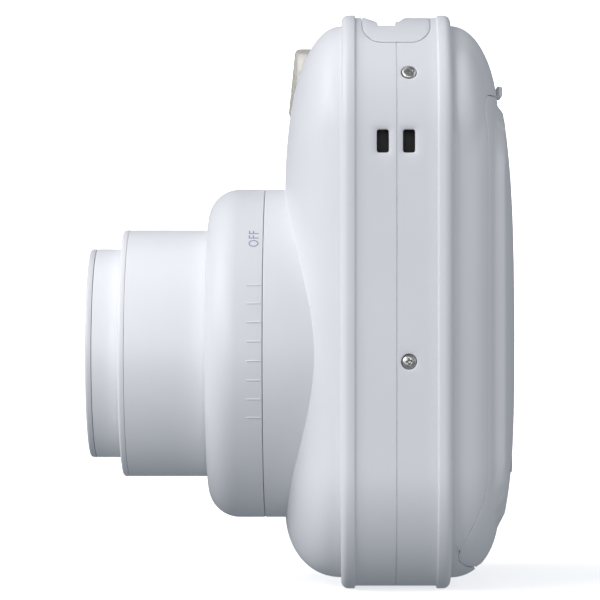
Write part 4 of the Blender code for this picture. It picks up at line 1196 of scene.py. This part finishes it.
def make_strap_lugs():
    """Black pockets behind the strap slots, with the bar that a strap goes round."""
    for side, word in ((1, "left"), (-1, "right")):
        surface = WIDTH / 2 - BAND_INSET
        outer, inner = side * (surface - 0.75 * mm), side * (surface - 5.5 * mm)
        low, high = (-4.9 * mm, SLOT_Z - 3.2 * mm), (4.5 * mm, SLOT_Z + 3.2 * mm)
        outline = rounded_box(low, high, 0.8 * mm)
        pocket = prism(f"strap_pocket_{word}", outline, "X", *sorted((inner, outer)))
        for y in (-2.9 * mm, 2.5 * mm):
            hole = prism(
                "hole",
                slot_outline(y, 0.25 * mm, 0.5 * mm),
                "X",
                *sorted((side * (surface - 5 * mm), side * WIDTH)),
            )
            cut(pocket, hole)
        finish(pocket, "black_plastic", "camera_body")


SCREWS = [
    f"side_screw_{word}_{level}" for word in ("left", "right") for level in ("lower", "upper")
]


def screw_place(name):
    """(side, how far out the band is here, centre of the head)."""
    middle, _ = node_middle(name)
    side = 1 if middle.x > 0 else -1
    centre_z = HEIGHT - CORNER_RADIUS
    above = max(0.0, middle.z - centre_z)
    radius = CORNER_RADIUS - BAND_INSET
    reach = WIDTH / 2 - CORNER_RADIUS + math.sqrt(radius**2 - above**2)
    lean = math.asin(above / radius)
    return side, reach, lean, middle


def tilted(node, side, lean, middle, reach):
    """Stands a piece built along +X on the band, leaning with its corner."""
    turn = Matrix.Rotation(-lean, 4, "Y")
    if side < 0:
        turn = Matrix.Rotation(math.pi, 4, "Z") @ turn
    node.data.transform(Matrix.Translation((side * reach, middle.y, middle.z)) @ turn)
    return node


def screw_recess(name):
    """A round countersink with a soft lip, sunk square to the band."""
    side, reach, lean, middle = screw_place(name)
    rings = []
    for depth, radius in ((-1.6, 1.62), (-0.28, 1.62), (-0.1, 1.68), (0.0, 1.8), (0.08, 2.0), (1.5, 2.2)):
        ring = [(depth * mm, a, b) for a, b in circle((0, 0), radius * mm, 48)]
        rings.append(ring)
    return tilted(loft("recess", rings), side, lean, middle, reach)


def make_screws():
    """Cross-head screws with domed pan heads."""
    for name in SCREWS:
        side, reach, lean, middle = screw_place(name)
        radius = 1.48
        profile = (
            (-1.5, 0.9), (-0.7, 0.9), (-0.7, radius), (-0.42, radius), (-0.28, radius - 0.08),
            (-0.18, radius - 0.25), (-0.1, radius - 0.5), (-0.06, radius - 0.8), (-0.04, 0.25),
        )
        rings = [[(d * mm, a, b) for a, b in circle((0, 0), r * mm, 48)] for d, r in profile]
        head = loft(name + "_head", rings)
        for turn in (0, 90):
            long_half, half = 0.95 * mm, 0.2 * mm
            arm = loft(
                "arm",
                [
                    [(-0.75 * mm, a * 0.35, b * 0.6) for a, b in cross_arm(long_half, half)],
                    [(0.3 * mm, a * 1.05, b * 1.2) for a, b in cross_arm(long_half, half)],
                ],
            )
            arm.data.transform(Matrix.Rotation(math.radians(turn + 12), 4, "X"))
            cut(head, arm)
        soften(head, 0.05 * mm, 40)
        tilted(head, side, lean, middle, reach)
        finish(head, "steel", "camera_body", [name])


def cross_arm(long_half, half):
    return [(-long_half, -half), (long_half, -half), (long_half, half), (-long_half, half)]


# Battery side and door


def make_battery_lid():
    """The part of the right side that swings out over the batteries, with a thumb ridge."""
    lid = join(solid_half("battery_lid", -1), solid_half("rear", 1))
    keep(lid, cover_opening(0))
    cut(lid, inner_hollow(WALL))
    soften(lid, 0.25 * mm, 30, 3)
    middle, half = node_middle("battery_cover")
    finish(lid, "white_shell", "battery_door", ["battery_cover"])
    surface = -WIDTH / 2 + BAND_INSET
    for i in range(5):
        z = middle.z + half.z - (4 + 1.6 * i) * mm
        low, high = (-3.5 * mm, z - 0.35 * mm), (3.5 * mm, z + 0.35 * mm)
        outline = rounded_box(low, high, 0.3 * mm, 4)
        bar = prism(f"lid_grip_{i + 1}", outline, "X", surface - 0.3 * mm, surface + 0.4 * mm)
        soften(bar, 0.15 * mm)
        finish(bar, "white_trim", "battery_door")


def door_outline(grow):
    return rounded_outline(
        DOOR_HALF + grow,
        DOOR_BOTTOM - grow,
        DOOR_TOP + grow,
        DOOR_BOTTOM_RADIUS + grow,
        DOOR_TOP_RADIUS + grow,
    )


def door_height(x, z):
    """The door's outer surface: the rear dome, and the raised middle with its soft step."""
    base = RIB_OUTER + dome_rise(1, x, z)
    inside = -outline_distance(x, z, PLATEAU_HALF, PLATEAU_LOW, PLATEAU_HIGH, PLATEAU_RADIUS)
    across = 1 - math.exp(-max(PLATEAU_HALF - abs(x), 0) / (7 * mm))
    low = 1 - math.exp(-max(z - PLATEAU_LOW, 0) / (9 * mm))
    high = 1 - math.exp(-max(PLATEAU_HIGH - z, 0) / (13 * mm))
    raised = PLATEAU_START + (DOOR_BACK - PLATEAU_START + 0.6 * mm) * across * low * high
    share = min(max((inside + 0.3 * mm) / (1.5 * mm), 0), 1)
    share = share * share * (3 - 2 * share)
    return base + (max(raised, base) - base) * share


def make_door():
    """The film door: a shell with a raised middle, its liner side kept from the CAD."""
    insets = [0.0, 0.06, 0.2, 0.45, 0.8, 1.2, 1.6, 2.0, 2.4, 2.8, 3.2, 3.6, 4.1, 4.8, 5.6, 6.6, 7.8]
    insets += [9.2 + 1.7 * i for i in range(20)]
    edge = 0.35 * mm
    rings = []
    for inset in insets:
        inset *= mm
        ring = []
        for x, z in shrunk_door(inset):
            drop = 0.0
            if inset < edge:
                drop = edge - math.sqrt(edge**2 - (edge - inset) ** 2)
            ring.append((x, door_height(x, z) - drop, z))
        rings.append(ring)
    inner = [
        [(x, DOOR_START, z) for x, z in shrunk_door(0)],
        [(x, DOOR_START, z) for x, z in shrunk_door(WALL)],
    ]
    floor = RIB_OUTER + REAR_DEPTH - WALL
    for inset, back in ((2.3, 3.2), (4, 1.8), (7, 0.8), (11, 0.0), (24, 0.0)):
        inner.append([(x, floor - back * mm, z) for x, z in shrunk_door(inset * mm)])
    door = loft("door_skin", inner[::-1] + rings)
    window, window_half = node_middle("film_window")
    counter, counter_half = node_middle("counter_window")
    pane = rounded_box(
        (window.x - window_half.x - 0.1 * mm, window.z - window_half.z - 0.1 * mm),
        (window.x + window_half.x + 0.1 * mm, window.z + window_half.z + 0.1 * mm),
        1.2 * mm,
        6,
    )
    cut(
        door,
        prism("window_hole", pane, "Y", 10 * mm, 40 * mm),
        rod("counter_hole", "Y", (counter.x, counter.z), counter_half.x + 0.1 * mm, 10 * mm, 40 * mm, 64),
        rod("knuckle", "X", (HINGE_Y, HINGE_Z), 0.75 * mm, -26 * mm, 26 * mm, 32),
    )
    soften(door, 0.15 * mm)
    finish(door, "white_shell", "door", ["back_door"])


def shrunk_door(inset):
    """The door's outline drawn in, its corners kept round."""
    half = DOOR_HALF - inset
    bottom, top = DOOR_BOTTOM + inset, DOOR_TOP - inset
    radius = max(DOOR_BOTTOM_RADIUS - inset, 3 * mm)
    top_radius = max(DOOR_TOP_RADIUS - inset * 0.5, 1.5 * mm)
    return rounded_outline(half, bottom, top, radius, top_radius)


def make_latch():
    middle, half = node_middle("door_latch")
    outer = middle.y + half.y
    surface = RIB_OUTER + REAR_DEPTH
    nub = prism(
        "latch_nub",
        rounded(
            [
                (surface + 0.1 * mm, middle.z - 1.2 * mm, 0.1 * mm),
                (outer, middle.z - 1.2 * mm, 0.5 * mm), (outer, middle.z + 1.2 * mm, 0.5 * mm),
                (surface + 0.1 * mm, middle.z + 1.2 * mm, 0.1 * mm),
            ],
            5,
        ),
        "X",
        middle.x - half.x,
        middle.x + half.x,
    )
    stem = box(
        "stem",
        (middle.x - 4 * mm, surface - WALL - 0.8 * mm, middle.z - 0.7 * mm),
        (middle.x + 4 * mm, surface + 0.8 * mm, middle.z + 0.7 * mm),
    )
    join(nub, stem)
    soften(nub, 0.25 * mm, 38, 3)
    finish(nub, "white_trim", "latch", ["door_latch"])


def dress_carried_nodes():
    """Better materials for the CAD nodes that are shown as they are."""
    hidden = set()
    for piece in bpy.context.scene.objects:
        hidden.update(piece.get("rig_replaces", []))
    for row in frame["record"]["subparts"]:
        name = row["node"]
        if name in hidden:
            continue
        node = frame["nodes"][name]
        look = material(row["material_slot"])
        for slot in node.material_slots:
            slot.material = look


def main():
    make_camera()
    make_room()
    make_front_shell()
    make_rear_shell()
    make_film_frame()
    make_collar()
    make_dial()
    make_barrels()
    make_lens_face()
    make_flash()
    make_finders()
    make_button()
    make_strap_lugs()
    make_screws()
    make_battery_lid()
    make_door()
    make_latch()
    dress_carried_nodes()


main()
